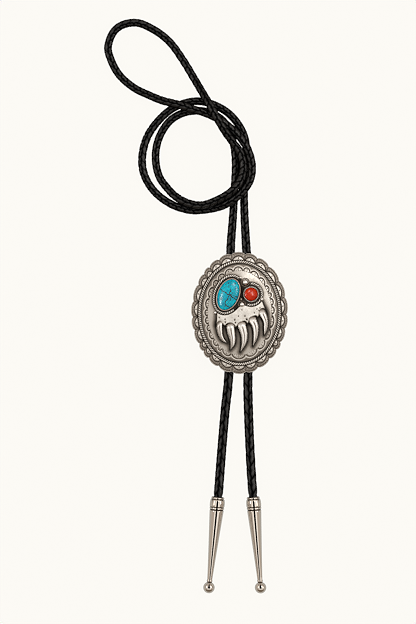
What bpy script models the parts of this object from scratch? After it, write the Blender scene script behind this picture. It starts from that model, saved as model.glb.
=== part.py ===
"""A bolo tie that lies on a flat surface: a silver concho slide on a leather cord.

Lengths are in metres. The origin is on the surface under the middle of the slide, +X points to
the wearer's left as the photograph shows it, +Y runs up the cord and +Z points off the surface.
The concho is one soldered solid: a scalloped dished plate with a rope wire border, a paw with
five claws, two stone cups, their rope wires and small shots. The two stones, the clip behind the
slide, the cord and its two metal tips are solids of their own.
"""

import math

import bmesh
import bpy
from mathutils import Vector

# Gap that touching pieces keep
GAP = 0.0003

# Leather cord
LEG_RADIUS = 0.0023
LOOP_RADIUS = 0.00195
LEG_THICK_UNTIL_Y = 0.025
LOOP_THIN_FROM_Y = 0.060
LOOP_SPACING = 0.0105
LEG_SPACING = 0.0155
CORD_LEAD = 0.009

# Clip behind the slide
CLIP_LENGTH = 0.028
CLIP_WALL = 0.0010
CHANNEL_SPREAD = 0.0096
BOSS_RADIUS = 0.0040

# Scalloped plate of the concho
SLIDE_WIDTH = 0.0505
SLIDE_HEIGHT = 0.0635
SHELL_WALL = 0.0012
FLANGE_RISE = 0.0009
DOME_RISE = 0.0042
SCALLOP_DEPTH = 0.0012
LOBE_CROWN = 0.0004
RIM_ROPE_WIDTH = 0.0415
RIM_ROPE_HEIGHT = 0.0532
RIM_ROPE_WIRE = 0.0013
LOBE_STEPS = 5

# Turn of each cusp between two scallops, clockwise from the top as a share of the whole turn
SCALLOP_CUSPS = (
    0.019, 0.062, 0.107, 0.159, 0.207, 0.254, 0.293, 0.332, 0.356, 0.390, 0.436, 0.478, 0.526,
    0.573, 0.613, 0.639, 0.663, 0.703, 0.739, 0.782, 0.830, 0.864, 0.890, 0.928, 0.972,
)

# Stones and their cups
TURQUOISE_LENGTH = 0.0164
TURQUOISE_WIDTH = 0.0103
TURQUOISE_TILT = math.radians(22.5)
TURQUOISE_X = -0.0059
TURQUOISE_Y = 0.0095
TURQUOISE_CROWN = 0.0026
CORAL_DIAMETER = 0.0067
CORAL_X = 0.0059
CORAL_Y = 0.0097
CORAL_CROWN = 0.0021
CUP_WALL = 0.0006
CUP_DEPTH = 0.0011
CUP_SINK = 0.0005
CUP_LIFT = 0.0002
STONE_SEAT = 0.0003

# Rope wires around the cups
CUP_ROPE_WIRE = 0.0011
TURQUOISE_ROPE_OFFSET = 0.00195
CORAL_ROPE_OFFSET = 0.0024
TURQUOISE_ROPE_START = 0.416
TURQUOISE_ROPE_END = 1.105
CORAL_ROPE_START = -0.006
CORAL_ROPE_END = 0.558
ROPE_BEAD_RADIUS = 0.0007

# Small silver balls beside the cups; their table gives the place as shares of the slide's half
# width and half height, and the size as a share of the largest shot
SHOT_RADIUS = 0.0017
SHOT_LIFT = 0.4
SHOTS = (
    {"across": 0.115, "along": 0.501, "size": 1.00},
    {"across": 0.048, "along": 0.139, "size": 0.82},
    {"across": -0.503, "along": 0.006, "size": 0.53},
    {"across": 0.455, "along": 0.224, "size": 0.53},
    {"across": 0.032, "along": 0.224, "size": 0.38},
)

# Paw with its claws
PAW_WIDTH = 0.0272
PAW_LENGTH = 0.0255
PAW_LEFT = -0.0121
PAW_TOP = 0.0052
PAD_THICKNESS = 0.0009
CLAW_HEIGHT = 0.0020
TRIM_SINK = 0.0005

# Pad outline: across as a share of the paw's width, upper and lower edge as shares of its length
PAD_EDGES = (
    (0.00, 0.27, 0.44),
    (0.08, 0.24, 0.47),
    (0.16, 0.20, 0.455),
    (0.27, 0.15, 0.50),
    (0.375, 0.10, 0.485),
    (0.49, 0.05, 0.49),
    (0.604, 0.03, 0.41),
    (0.70, 0.02, 0.40),
    (0.80, 0.00, 0.275),
    (0.88, 0.03, 0.26),
    (0.95, 0.17, 0.29),
)

# Claws: base, middle and tip of the centre line, and full width, as shares of the paw
CLAWS = (
    {"base": (0.060, 0.38), "middle": (0.070, 0.612), "tip": (0.205, 0.812), "width": 0.117},
    {"base": (0.270, 0.44), "middle": (0.306, 0.714), "tip": (0.273, 0.950), "width": 0.160},
    {"base": (0.480, 0.41), "middle": (0.533, 0.714), "tip": (0.461, 1.000), "width": 0.172},
    {"base": (0.690, 0.32), "middle": (0.753, 0.612), "tip": (0.704, 0.884), "width": 0.155},
    {"base": (0.858, 0.16), "middle": (0.945, 0.408), "tip": (0.912, 0.656), "width": 0.128},
)

# Claw taper: share of the claw's length and share of its full width
CLAW_TAPER = (
    (0.00, 0.90),
    (0.18, 1.00),
    (0.38, 0.97),
    (0.58, 0.82),
    (0.76, 0.62),
    (0.90, 0.40),
    (1.00, 0.14),
)

# Metal tips
TIP_LENGTH = 0.0505
BARREL_RADIUS = 0.0039
BALL_RADIUS = 0.0030
SOCKET_DEPTH = 0.0100
LEFT_TIP_MOUTH = (-0.0112, -0.0959)
LEFT_TIP_BALL = (-0.0159, -0.1432)
RIGHT_TIP_MOUTH = (0.0071, -0.0959)
RIGHT_TIP_BALL = (0.0110, -0.1431)
BARREL_REST = 0.08

# Tip profile: share of the length from the mouth and share of the barrel's radius
TIP_PROFILE = (
    (0.000, 0.82),
    (0.018, 0.88),
    (0.032, 0.84),
    (0.045, 0.99),
    (0.080, 1.00),
    (0.105, 0.98),
    (0.116, 0.90),
    (0.128, 0.98),
    (0.142, 0.93),
    (0.480, 0.64),
    (0.880, 0.32),
)

# Route of the loop from the left leg to the right leg: x and y in millimetres, and the layer,
# where 1 lies on the surface, 2 lies on one strand and 3 on two
MILLIMETRE = 0.001
LEFT_LEG = ((-5.9, -37.0, 1.0), (-7.4, -50.5, 1.0), (-8.6, -64.0, 1.0), (-9.9, -80.0, 1.0))
RIGHT_LEG = ((4.4, -37.0, 1.0), (4.7, -50.5, 1.0), (5.2, -64.0, 1.0), (6.0, -80.0, 1.0))
LOOP = (
    (-4.5, 35.0, 1.0), (-3.5, 48.5, 1.0), (-2.5, 65.0, 1.0), (-2.0, 79.5, 1.0),
    (-3.5, 90.0, 1.0), (-7.5, 99.0, 1.0), (-14.0, 104.0, 1.0), (-21.0, 105.5, 1.0),
    (-29.0, 104.5, 1.0), (-36.0, 100.5, 1.0), (-41.0, 93.5, 1.0), (-43.5, 85.5, 1.0),
    (-43.5, 77.5, 1.0), (-41.5, 70.5, 1.0), (-37.5, 65.0, 1.1), (-33.0, 60.5, 1.45),
    (-26.5, 57.0, 1.85), (-19.5, 56.0, 2.0), (-12.0, 58.5, 2.2), (-5.0, 62.5, 2.65),
    (0.0, 68.0, 2.45), (2.0, 75.5, 2.05), (0.5, 83.0, 2.1), (-3.0, 88.0, 2.25),
    (-7.5, 94.0, 2.7), (-11.5, 100.5, 3.1), (-15.0, 107.0, 3.05), (-19.0, 114.0, 2.2),
    (-23.5, 122.0, 1.2), (-29.5, 132.0, 1.0), (-36.5, 141.5, 1.0), (-45.0, 148.0, 1.0),
    (-54.5, 151.5, 1.0), (-64.0, 148.5, 1.0), (-68.5, 139.5, 1.0), (-67.0, 132.0, 1.0),
    (-62.5, 124.0, 1.0), (-55.0, 117.5, 1.0), (-47.0, 113.5, 1.2), (-40.0, 110.5, 1.7),
    (-32.5, 108.5, 2.03), (-24.5, 106.0, 2.03), (-18.0, 104.0, 2.0), (-11.5, 101.0, 1.98),
    (-5.0, 96.5, 2.0), (0.5, 91.0, 2.05), (4.5, 84.5, 2.05), (6.5, 76.5, 2.0),
    (5.5, 69.0, 2.1), (1.5, 63.0, 2.15), (-4.5, 58.0, 2.12), (-11.5, 55.0, 1.35),
    (-23.0, 53.5, 1.0), (-29.5, 54.5, 1.0), (-36.0, 57.0, 1.0), (-43.0, 62.0, 1.0),
    (-48.0, 68.5, 1.0), (-50.5, 75.5, 1.0), (-50.5, 83.5, 1.0), (-48.0, 92.0, 1.0),
    (-43.0, 99.5, 1.0), (-36.0, 106.0, 1.0), (-28.5, 109.5, 1.0), (-21.0, 110.5, 1.0),
    (-13.0, 108.5, 1.0), (-5.5, 104.0, 1.0), (0.0, 97.5, 1.0), (3.0, 90.5, 1.0),
    (3.5, 83.0, 1.0), (2.5, 69.0, 1.0), (2.5, 55.5, 1.0), (3.5, 35.0, 1.0),
)

# Sizes that follow from the ones above
CHANNEL_RADIUS = LEG_RADIUS + GAP
CHANNEL_AXIS_Z = CLIP_WALL + CHANNEL_RADIUS
RIM_UNDERSIDE_Z = CHANNEL_AXIS_Z + LEG_RADIUS + GAP
RIM_TOP_Z = RIM_UNDERSIDE_Z + SHELL_WALL
SEMI_X = SLIDE_WIDTH / 2
SEMI_Y = SLIDE_HEIGHT / 2
FLANGE_SHARE = RIM_ROPE_HEIGHT / SLIDE_HEIGHT


def clear_scene():
    """Remove every object, so that the script can be run again."""
    for item in list(bpy.data.objects):
        bpy.data.objects.remove(item, do_unlink=True)


def material(name, colour, roughness, metallic):
    """Make a Principled material."""
    made = bpy.data.materials.new(name)
    made.use_nodes = True
    shader = made.node_tree.nodes["Principled BSDF"]
    shader.inputs["Base Color"].default_value = (*colour, 1.0)
    shader.inputs["Roughness"].default_value = roughness
    shader.inputs["Metallic"].default_value = metallic
    return made


def mesh_object(name, mesh_tools, made_material=None):
    """Turn a bmesh into a linked object with outward faces."""
    bmesh.ops.recalc_face_normals(mesh_tools, faces=mesh_tools.faces)
    mesh = bpy.data.meshes.new(name)
    mesh_tools.to_mesh(mesh)
    mesh_tools.free()
    made = bpy.data.objects.new(name, mesh)
    bpy.context.collection.objects.link(made)
    if made_material is not None:
        mesh.materials.append(made_material)
    return made


def shade_round(target, sharp_degrees=35):
    """Shade a round piece smooth, with its real edges kept sharp."""
    target.data.shade_smooth()
    target.data.set_sharp_from_angle(angle=math.radians(sharp_degrees))


def hide_tool(target):
    """Keep a Boolean operand out of the model."""
    target.hide_render = True
    target.display_type = "WIRE"


def surface_height(x, y):
    """Height of the concho's upper surface over a place in plan."""
    share = math.hypot(x / SEMI_X, y / SEMI_Y)
    if share >= FLANGE_SHARE:
        return RIM_TOP_Z + FLANGE_RISE * (1.0 - share) / (1.0 - FLANGE_SHARE)
    return RIM_TOP_Z + FLANGE_RISE + DOME_RISE * (1.0 - (share / FLANGE_SHARE) ** 2)


def lobe_stations():
    """Turn round the rim and place across its lobe, from -1 to 1, of each rim vertex."""
    stations = []
    for number, cusp in enumerate(SCALLOP_CUSPS):
        following = SCALLOP_CUSPS[(number + 1) % len(SCALLOP_CUSPS)]
        if following < cusp:
            following += 1.0
        for step in range(LOBE_STEPS):
            share = step / LOBE_STEPS
            stations.append((cusp + (following - cusp) * share, 2.0 * share - 1.0))
    return stations


def plan_point(turn, share):
    """Place in plan at a turn clockwise from the top and a share of the rim's ellipse."""
    angle = 2.0 * math.pi * turn
    return SEMI_X * share * math.sin(angle), SEMI_Y * share * math.cos(angle)


def bridge(mesh_tools, lower, upper):
    """Join two closed rings of vertices with quads."""
    count = len(lower)
    for index in range(count):
        after = (index + 1) % count
        mesh_tools.faces.new((lower[index], lower[after], upper[after], upper[index]))


def fan(mesh_tools, ring, centre):
    """Close a ring of vertices round a centre vertex."""
    for index, vertex in enumerate(ring):
        mesh_tools.faces.new((vertex, ring[(index + 1) % len(ring)], centre))


def shell_ring(mesh_tools, share, drop):
    """One ring of plate vertices; the outer ones follow the scallops and crown each lobe."""
    ring = []
    for turn, across in lobe_stations():
        outer = max(0.0, (share - FLANGE_SHARE) / (1.0 - FLANGE_SHARE))
        notch = SCALLOP_DEPTH / SEMI_Y * across**2 * outer
        x, y = plan_point(turn, share - notch)
        crown = LOBE_CROWN * (1.0 - across**2) * 4.0 * outer * (1.0 - outer)
        ring.append(mesh_tools.verts.new((x, y, surface_height(x, y) + crown - drop)))
    return ring


def build_shell(silver):
    """The scalloped, dished plate, open at the back."""
    tools = bmesh.new()
    middle = (1.0 + FLANGE_SHARE) / 2
    top = [shell_ring(tools, share, 0.0) for share in (0.28, 0.56, FLANGE_SHARE, middle, 1.0)]
    under = [shell_ring(tools, share, SHELL_WALL) for share in (1.0, FLANGE_SHARE, 0.5)]
    rings = top + under
    for lower, upper in zip(rings[:-1], rings[1:]):
        bridge(tools, lower, upper)
    fan(tools, top[0], tools.verts.new((0.0, 0.0, surface_height(0.0, 0.0))))
    fan(tools, under[-1], tools.verts.new((0.0, 0.0, surface_height(0.0, 0.0) - SHELL_WALL)))
    return mesh_object("concho", tools, silver)


def ellipse_place(centre, semi_long, semi_short, tilt, turn):
    """Place on an ellipse whose long axis leans clockwise from +Y; the turn runs clockwise."""
    angle = 2.0 * math.pi * turn
    along = semi_long * math.cos(angle)
    across = semi_short * math.sin(angle)
    x = centre[0] + across * math.cos(tilt) + along * math.sin(tilt)
    y = centre[1] - across * math.sin(tilt) + along * math.cos(tilt)
    return x, y


def add_wire(tools, centre, semi_long, semi_short, tilt, arc, wire, steps, sides=6):
    """Add a round wire on the plate along an ellipse, whole or between two turns."""
    start, end = arc
    closed = end - start >= 1.0
    count = steps if closed else steps + 1
    sections = []
    for index in range(count):
        turn = start + (end - start) * index / steps
        x, y = ellipse_place(centre, semi_long, semi_short, tilt, turn)
        ahead = ellipse_place(centre, semi_long, semi_short, tilt, turn + 0.001)
        forward = Vector((ahead[0] - x, ahead[1] - y, 0.0)).normalized()
        side = Vector((forward.y, -forward.x, 0.0))
        middle = Vector((x, y, surface_height(x, y) + wire * 0.25))
        ring = []
        for number in range(sides):
            angle = 2.0 * math.pi * number / sides
            offset = side * math.cos(angle) + Vector((0, 0, 1)) * math.sin(angle)
            ring.append(tools.verts.new(middle + offset * wire / 2))
        sections.append(ring)
    for lower, upper in zip(sections[:-1], sections[1:]):
        bridge(tools, lower, upper)
    if closed:
        bridge(tools, sections[-1], sections[0])
    else:
        tools.faces.new(sections[0])
        tools.faces.new(sections[-1])


def cup_floor(centre, x, y):
    """Height of a cup's flat floor: the plane that touches the dome under the cup's middle."""
    fall = 2.0 * DOME_RISE / FLANGE_SHARE**2
    slope_x = -fall * centre[0] / SEMI_X**2
    slope_y = -fall * centre[1] / SEMI_Y**2
    level = surface_height(*centre) + CUP_LIFT
    return level + slope_x * (x - centre[0]) + slope_y * (y - centre[1])


def add_cup(tools, centre, semi_long, semi_short, tilt, steps=28):
    """Add a stone cup: a wall with a flat floor, its foot following the dome."""
    rows = ((CUP_WALL, None), (CUP_WALL, CUP_DEPTH), (0.0, CUP_DEPTH), (0.0, 0.0))
    rings = []
    for extra, height in rows:
        ring = []
        for index in range(steps):
            x, y = ellipse_place(centre, semi_long + extra, semi_short + extra, tilt, index / steps)
            if height is None:
                level = surface_height(x, y) - CUP_SINK
            else:
                level = cup_floor(centre, x, y) + height
            ring.append(tools.verts.new((x, y, level)))
        rings.append(ring)
    for lower, upper in zip(rings[:-1], rings[1:]):
        bridge(tools, lower, upper)
    fan(tools, rings[-1], tools.verts.new((*centre, cup_floor(centre, *centre))))
    foot = surface_height(*centre) - CUP_SINK
    fan(tools, rings[0], tools.verts.new((centre[0], centre[1], foot)))


def add_ball(tools, x, y, radius):
    """Add one silver ball that sits in the plate."""
    made = bmesh.ops.create_uvsphere(tools, u_segments=10, v_segments=7, radius=radius)
    lift = Vector((x, y, surface_height(x, y) + radius * SHOT_LIFT))
    bmesh.ops.translate(tools, verts=made["verts"], vec=lift)


def add_shots(tools):
    """Add the small silver balls beside the cups."""
    for shot in SHOTS:
        add_ball(tools, shot["across"] * SEMI_X, shot["along"] * SEMI_Y, shot["size"] * SHOT_RADIUS)


def paw_point(across, along):
    """Place in plan of a point of the paw given as shares of its width and length."""
    return PAW_LEFT + across * PAW_WIDTH, PAW_TOP - along * PAW_LENGTH


def add_pad(tools, rows=4):
    """Add the paw's pad, a thin overlay that follows the dome."""
    upper = []
    lower = []
    for across, top_edge, bottom_edge in PAD_EDGES:
        high = []
        low = []
        for row in range(rows + 1):
            along = top_edge + (bottom_edge - top_edge) * row / rows
            x, y = paw_point(across, along)
            level = surface_height(x, y)
            high.append(tools.verts.new((x, y, level + PAD_THICKNESS)))
            low.append(tools.verts.new((x, y, level - TRIM_SINK)))
        upper.append(high)
        lower.append(low)
    last = len(PAD_EDGES) - 1
    for column in range(last):
        for row in range(rows):
            for sheet in (upper, lower):
                tools.faces.new((
                    sheet[column][row],
                    sheet[column + 1][row],
                    sheet[column + 1][row + 1],
                    sheet[column][row + 1],
                ))
        for row in (0, rows):
            tools.faces.new((
                upper[column][row],
                upper[column + 1][row],
                lower[column + 1][row],
                lower[column][row],
            ))
    for column in (0, last):
        for row in range(rows):
            tools.faces.new((
                upper[column][row],
                upper[column][row + 1],
                lower[column][row + 1],
                lower[column][row],
            ))


def claw_centre(claw, share):
    """Place on a claw's centre line, a parabola through its base, middle and tip."""
    base = Vector(paw_point(*claw["base"]))
    middle = Vector(paw_point(*claw["middle"]))
    tip = Vector(paw_point(*claw["tip"]))
    control = 2.0 * middle - (base + tip) / 2
    back = 1.0 - share
    return base * back * back + control * 2.0 * share * back + tip * share * share


def add_claw(tools, claw):
    """Add one claw: a ridged horn that tapers to its tip along its curved centre line."""
    sections = []
    for share, taper in CLAW_TAPER:
        centre = claw_centre(claw, share)
        forward = (claw_centre(claw, share + 0.02) - claw_centre(claw, share - 0.02)).normalized()
        side = Vector((-forward.y, forward.x))
        half = claw["width"] * PAW_WIDTH * taper / 2
        high = CLAW_HEIGHT * (0.35 + 0.65 * taper)
        ring = []
        for step in range(6):
            angle = math.pi * step / 5
            place = centre + side * half * math.cos(angle)
            level = surface_height(place.x, place.y)
            rise = high * math.sin(angle) if 0 < step < 5 else -TRIM_SINK
            ring.append(tools.verts.new((place.x, place.y, level + rise)))
        sections.append(ring)
    for lower, upper in zip(sections[:-1], sections[1:]):
        bridge(tools, lower, upper)
    tools.faces.new(sections[0])
    tools.faces.new(sections[-1])


def build_trim():
    """All that is soldered onto the plate, as overlapping closed bodies in one operand."""
    tools = bmesh.new()
    add_wire(
        tools, (0.0, 0.0), RIM_ROPE_HEIGHT / 2, RIM_ROPE_WIDTH / 2, 0.0, (0.0, 1.0),
        RIM_ROPE_WIRE, 72,
    )
    turquoise_centre = (TURQUOISE_X, TURQUOISE_Y)
    coral_centre = (CORAL_X, CORAL_Y)
    long_semi = TURQUOISE_LENGTH / 2
    short_semi = TURQUOISE_WIDTH / 2
    coral_semi = CORAL_DIAMETER / 2
    add_cup(tools, turquoise_centre, long_semi + GAP, short_semi + GAP, TURQUOISE_TILT)
    add_cup(tools, coral_centre, coral_semi + GAP, coral_semi + GAP, 0.0, steps=22)
    rope_long = long_semi + TURQUOISE_ROPE_OFFSET
    rope_short = short_semi + TURQUOISE_ROPE_OFFSET
    rope_start = TURQUOISE_ROPE_START - TURQUOISE_TILT / (2 * math.pi)
    rope_end = TURQUOISE_ROPE_END - TURQUOISE_TILT / (2 * math.pi)
    add_wire(
        tools, turquoise_centre, rope_long, rope_short, TURQUOISE_TILT, (rope_start, rope_end),
        CUP_ROPE_WIRE, 30,
    )
    bead = ellipse_place(turquoise_centre, rope_long, rope_short, TURQUOISE_TILT, rope_end)
    add_ball(tools, *bead, ROPE_BEAD_RADIUS)
    coral_rope = coral_semi + CORAL_ROPE_OFFSET
    add_wire(
        tools, coral_centre, coral_rope, coral_rope, 0.0, (CORAL_ROPE_START, CORAL_ROPE_END),
        CUP_ROPE_WIRE, 20,
    )
    add_shots(tools)
    add_pad(tools)
    for claw in CLAWS:
        add_claw(tools, claw)
    trim = mesh_object("concho_trim", tools)
    hide_tool(trim)
    return trim


def build_concho(silver):
    """The plate with its trim soldered on, one solid."""
    concho = build_shell(silver)
    solder = concho.modifiers.new("solder", "BOOLEAN")
    solder.operation = "UNION"
    solder.solver = "EXACT"
    solder.use_self = True
    solder.object = build_trim()
    shade_round(concho)
    return concho


def build_stone(name, centre, semi_long, semi_short, tilt, crown, stone, steps):
    """A cabochon that stands on its cup's floor, with an upright girdle and a domed top."""
    floor = cup_floor(centre, *centre) + GAP
    girdle = CUP_DEPTH - GAP + STONE_SEAT
    tools = bmesh.new()
    rows = [(1.0, 0.0), (1.0, girdle)]
    rows += [
        (math.cos(math.radians(lean)), girdle + (crown - girdle) * math.sin(math.radians(lean)))
        for lean in (25, 48, 70)
    ]
    rings = []
    for share, height in rows:
        ring = []
        for index in range(steps):
            turn = index / steps
            x, y = ellipse_place(centre, semi_long * share, semi_short * share, tilt, turn)
            level = cup_floor(centre, x, y) + GAP - floor + height
            ring.append(tools.verts.new((x - centre[0], y - centre[1], level)))
        rings.append(ring)
    for lower, upper in zip(rings[:-1], rings[1:]):
        bridge(tools, lower, upper)
    fan(tools, rings[-1], tools.verts.new((0.0, 0.0, crown)))
    tools.faces.new(rings[0])
    made = mesh_object(name, tools, stone)
    made.location = (centre[0], centre[1], floor)
    shade_round(made)
    return made


def build_clip(steel):
    """The hidden clip: a block on the surface with a channel for each leg and a boss on top."""
    half_width = CHANNEL_SPREAD / 2 + CHANNEL_RADIUS + CLIP_WALL
    height = CHANNEL_AXIS_Z + CHANNEL_RADIUS + CLIP_WALL
    reach = BOSS_RADIUS / SEMI_X / FLANGE_SHARE
    underside = surface_height(0.0, 0.0) - SHELL_WALL - DOME_RISE * reach**2
    tools = bmesh.new()
    bmesh.ops.create_cube(tools, size=1.0)
    bmesh.ops.scale(tools, vec=(2 * half_width, CLIP_LENGTH, height), verts=tools.verts)
    bmesh.ops.translate(tools, vec=(0.0, 0.0, height / 2), verts=tools.verts)
    block = mesh_object("slide_clip", tools, steel)
    boss_top = underside - GAP
    boss = add_cylinder("clip_boss", BOSS_RADIUS, boss_top - height / 2, 20)
    boss.location = (0.0, 0.0, (boss_top + height / 2) / 2)
    combine(block, boss, "UNION")
    for side in (-1, 1):
        channel = add_cylinder("clip_channel", CHANNEL_RADIUS, CLIP_LENGTH * 2, 16)
        channel.rotation_euler = (math.pi / 2, 0.0, 0.0)
        channel.location = (side * CHANNEL_SPREAD / 2, 0.0, CHANNEL_AXIS_Z)
        combine(block, channel, "DIFFERENCE")
    return block


def add_cylinder(name, radius, length, sides):
    """A plain cylinder along Z round its own origin."""
    tools = bmesh.new()
    bmesh.ops.create_cone(
        tools, cap_ends=True, segments=sides, radius1=radius, radius2=radius, depth=length,
    )
    return mesh_object(name, tools)


def combine(target, operand, operation):
    """Add an exact Boolean whose operand stays out of the model."""
    hide_tool(operand)
    step = target.modifiers.new(operand.name, "BOOLEAN")
    step.operation = operation
    step.solver = "EXACT"
    step.object = operand


def tip_axis(mouth, ball):
    """Mouth and ball centre of a tip lying on the surface on its barrel and its ball."""
    run = TIP_LENGTH * (1.0 - BARREL_REST) - BALL_RADIUS
    slope = (BARREL_RADIUS - BALL_RADIUS) / run
    flat = Vector((ball[0] - mouth[0], ball[1] - mouth[1], 0.0)).normalized()
    direction = (flat - Vector((0.0, 0.0, slope))).normalized()
    mouth_height = BARREL_RADIUS + TIP_LENGTH * BARREL_REST * slope
    return Vector((mouth[0], mouth[1], mouth_height)), direction


def build_tip(name, mouth, ball, nickel, sides=16):
    """A turned metal tip: a collar and barrel, a long cone and a ball, with a socket."""
    socket = LEG_RADIUS + GAP
    rows = [(0.0, SOCKET_DEPTH), (socket, SOCKET_DEPTH), (socket, 0.0)]
    rows += [(BARREL_RADIUS * share, TIP_LENGTH * along) for along, share in TIP_PROFILE]
    centre = TIP_LENGTH - BALL_RADIUS
    for lean in (-45, -20, 5, 30, 60, 90):
        angle = math.radians(lean)
        rows.append((BALL_RADIUS * math.cos(angle), centre + BALL_RADIUS * math.sin(angle)))
    tools = bmesh.new()
    rings = []
    for radius, along in rows[1:-1]:
        ring = []
        for index in range(sides):
            angle = 2.0 * math.pi * index / sides
            ring.append(tools.verts.new((radius * math.cos(angle), radius * math.sin(angle), along)))
        rings.append(ring)
    for lower, upper in zip(rings[:-1], rings[1:]):
        bridge(tools, lower, upper)
    fan(tools, rings[0], tools.verts.new((0.0, 0.0, rows[0][1])))
    fan(tools, rings[-1], tools.verts.new((0.0, 0.0, TIP_LENGTH)))
    made = mesh_object(name, tools, nickel)
    shade_round(made)
    start, direction = tip_axis(mouth, ball)
    made.location = start
    made.rotation_euler = direction.to_track_quat("Z", "Y").to_euler()
    return made


def cord_radius(y):
    """Radius of the cord, which is thicker along the two legs than round the loop."""
    share = (y - LEG_THICK_UNTIL_Y) / (LOOP_THIN_FROM_Y - LEG_THICK_UNTIL_Y)
    share = min(1.0, max(0.0, share))
    return LEG_RADIUS + (LOOP_RADIUS - LEG_RADIUS) * share


def route_point(row):
    """A row of the route as a place: its layer gives the height."""
    x, y, layer = row[0] * MILLIMETRE, row[1] * MILLIMETRE, row[2]
    return Vector((x, y, cord_radius(y) + (layer - 1.0) * (2 * LOOP_RADIUS + GAP)))


def cord_sections():
    """The route from tip to tip, cut where the cord enters or leaves a metal piece."""
    left_mouth, left_way = tip_axis(LEFT_TIP_MOUTH, LEFT_TIP_BALL)
    right_mouth, right_way = tip_axis(RIGHT_TIP_MOUTH, RIGHT_TIP_BALL)
    inside = SOCKET_DEPTH - GAP
    half = CLIP_LENGTH / 2 + CORD_LEAD / 3
    side = CHANNEL_SPREAD / 2
    left = [Vector((-side, -half, CHANNEL_AXIS_Z)), Vector((-side, half, CHANNEL_AXIS_Z))]
    right = [Vector((side, half, CHANNEL_AXIS_Z)), Vector((side, -half, CHANNEL_AXIS_Z))]
    left_start = left_mouth - left_way * CORD_LEAD / 3
    right_start = right_mouth - right_way * CORD_LEAD / 3
    left_leg = [left_start] + [route_point(row) for row in reversed(LEFT_LEG)] + [left[0]]
    right_leg = [right[1]] + [route_point(row) for row in RIGHT_LEG] + [right_start]
    loop = [left[1]] + [route_point(row) for row in LOOP] + [right[0]]
    return [
        [left_mouth + left_way * inside, left_start],
        left_leg,
        left,
        loop,
        right,
        right_leg,
        [right_start, right_mouth + right_way * inside],
    ]


def smooth_curve(points, per_span=24):
    """Points of a smooth curve through all the points, by cubic spans with shared directions."""
    ways = []
    for index in range(len(points)):
        before = points[max(0, index - 1)]
        after = points[min(len(points) - 1, index + 1)]
        ways.append((after - before).normalized())
    curve = [points[0]]
    for index in range(len(points) - 1):
        start, end = points[index], points[index + 1]
        reach = (end - start).length / 3
        first = start + ways[index] * reach
        second = end - ways[index + 1] * reach
        for step in range(1, per_span + 1):
            share = step / per_span
            back = 1.0 - share
            curve.append(
                start * back**3 + first * 3 * back * back * share
                + second * 3 * back * share * share + end * share**3
            )
    return curve


def at_length(curve, lengths, wanted):
    """Place on a curve at a length from its start."""
    for index in range(1, len(lengths)):
        if lengths[index] >= wanted:
            span = lengths[index] - lengths[index - 1]
            share = (wanted - lengths[index - 1]) / span if span > 0 else 0.0
            return curve[index - 1].lerp(curve[index], share)
    return curve[-1]


def cord_points():
    """Points of the cord's tube, evenly spaced in each section and always at its ends."""
    sections = cord_sections()
    joined = []
    marks = []
    for number, section in enumerate(sections):
        joined += section if number == 0 else section[1:]
        marks.append(len(joined) - 1)
    per_span = 24
    curve = smooth_curve(joined, per_span)
    lengths = [0.0]
    for index in range(1, len(curve)):
        lengths.append(lengths[-1] + (curve[index] - curve[index - 1]).length)
    points = [curve[0]]
    start = 0.0
    for mark in marks:
        end = lengths[mark * per_span]
        in_loop = curve[mark * per_span].y > 0.0 and start > 0.0
        pieces = max(1, round((end - start) / (LOOP_SPACING if in_loop else LEG_SPACING)))
        for step in range(1, pieces + 1):
            place = at_length(curve, lengths, start + (end - start) * step / pieces)
            place.z = max(place.z, cord_radius(place.y))
            points.append(place)
        start = end
    return points


def build_cord(leather):
    """The cord as one tube from socket to socket."""
    points = cord_points()
    curve = bpy.data.curves.new("cord", "CURVE")
    curve.dimensions = "3D"
    curve.bevel_depth = LEG_RADIUS
    curve.bevel_resolution = 3
    curve.use_fill_caps = True
    curve.materials.append(leather)
    spline = curve.splines.new("POLY")
    spline.points.add(len(points) - 1)
    for target, place in zip(spline.points, points):
        target.co = (*place, 1.0)
        target.radius = cord_radius(place.y) / LEG_RADIUS
    cord = bpy.data.objects.new("cord", curve)
    bpy.context.collection.objects.link(cord)
    return cord


def main():
    """Build the bolo tie."""
    clear_scene()
    silver = material("antique_silver", (0.72, 0.69, 0.65), 0.28, 1.0)
    nickel = material("nickel_silver", (0.66, 0.61, 0.54), 0.2, 1.0)
    steel = material("clip_steel", (0.55, 0.55, 0.56), 0.35, 1.0)
    leather = material("black_leather", (0.012, 0.012, 0.012), 0.5, 0.0)
    turquoise = material("turquoise", (0.0, 0.38, 0.48), 0.2, 0.0)
    coral = material("coral", (0.62, 0.03, 0.006), 0.18, 0.0)
    build_concho(silver)
    build_stone(
        "turquoise", (TURQUOISE_X, TURQUOISE_Y), TURQUOISE_LENGTH / 2, TURQUOISE_WIDTH / 2,
        TURQUOISE_TILT, TURQUOISE_CROWN, turquoise, 28,
    )
    build_stone(
        "coral", (CORAL_X, CORAL_Y), CORAL_DIAMETER / 2, CORAL_DIAMETER / 2, 0.0, CORAL_CROWN,
        coral, 22,
    )
    build_clip(steel)
    build_cord(leather)
    build_tip("tip_left", LEFT_TIP_MOUTH, LEFT_TIP_BALL, nickel)
    build_tip("tip_right", RIGHT_TIP_MOUTH, RIGHT_TIP_BALL, nickel)


main()
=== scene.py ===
"""The looks of a bolo tie: an antiqued silver slide with two stones on a braided leather cord.

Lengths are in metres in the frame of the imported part, +Z off the surface and +Y up the cord.
"""

import logging
import math
from dataclasses import dataclass
from enum import Enum

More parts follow.
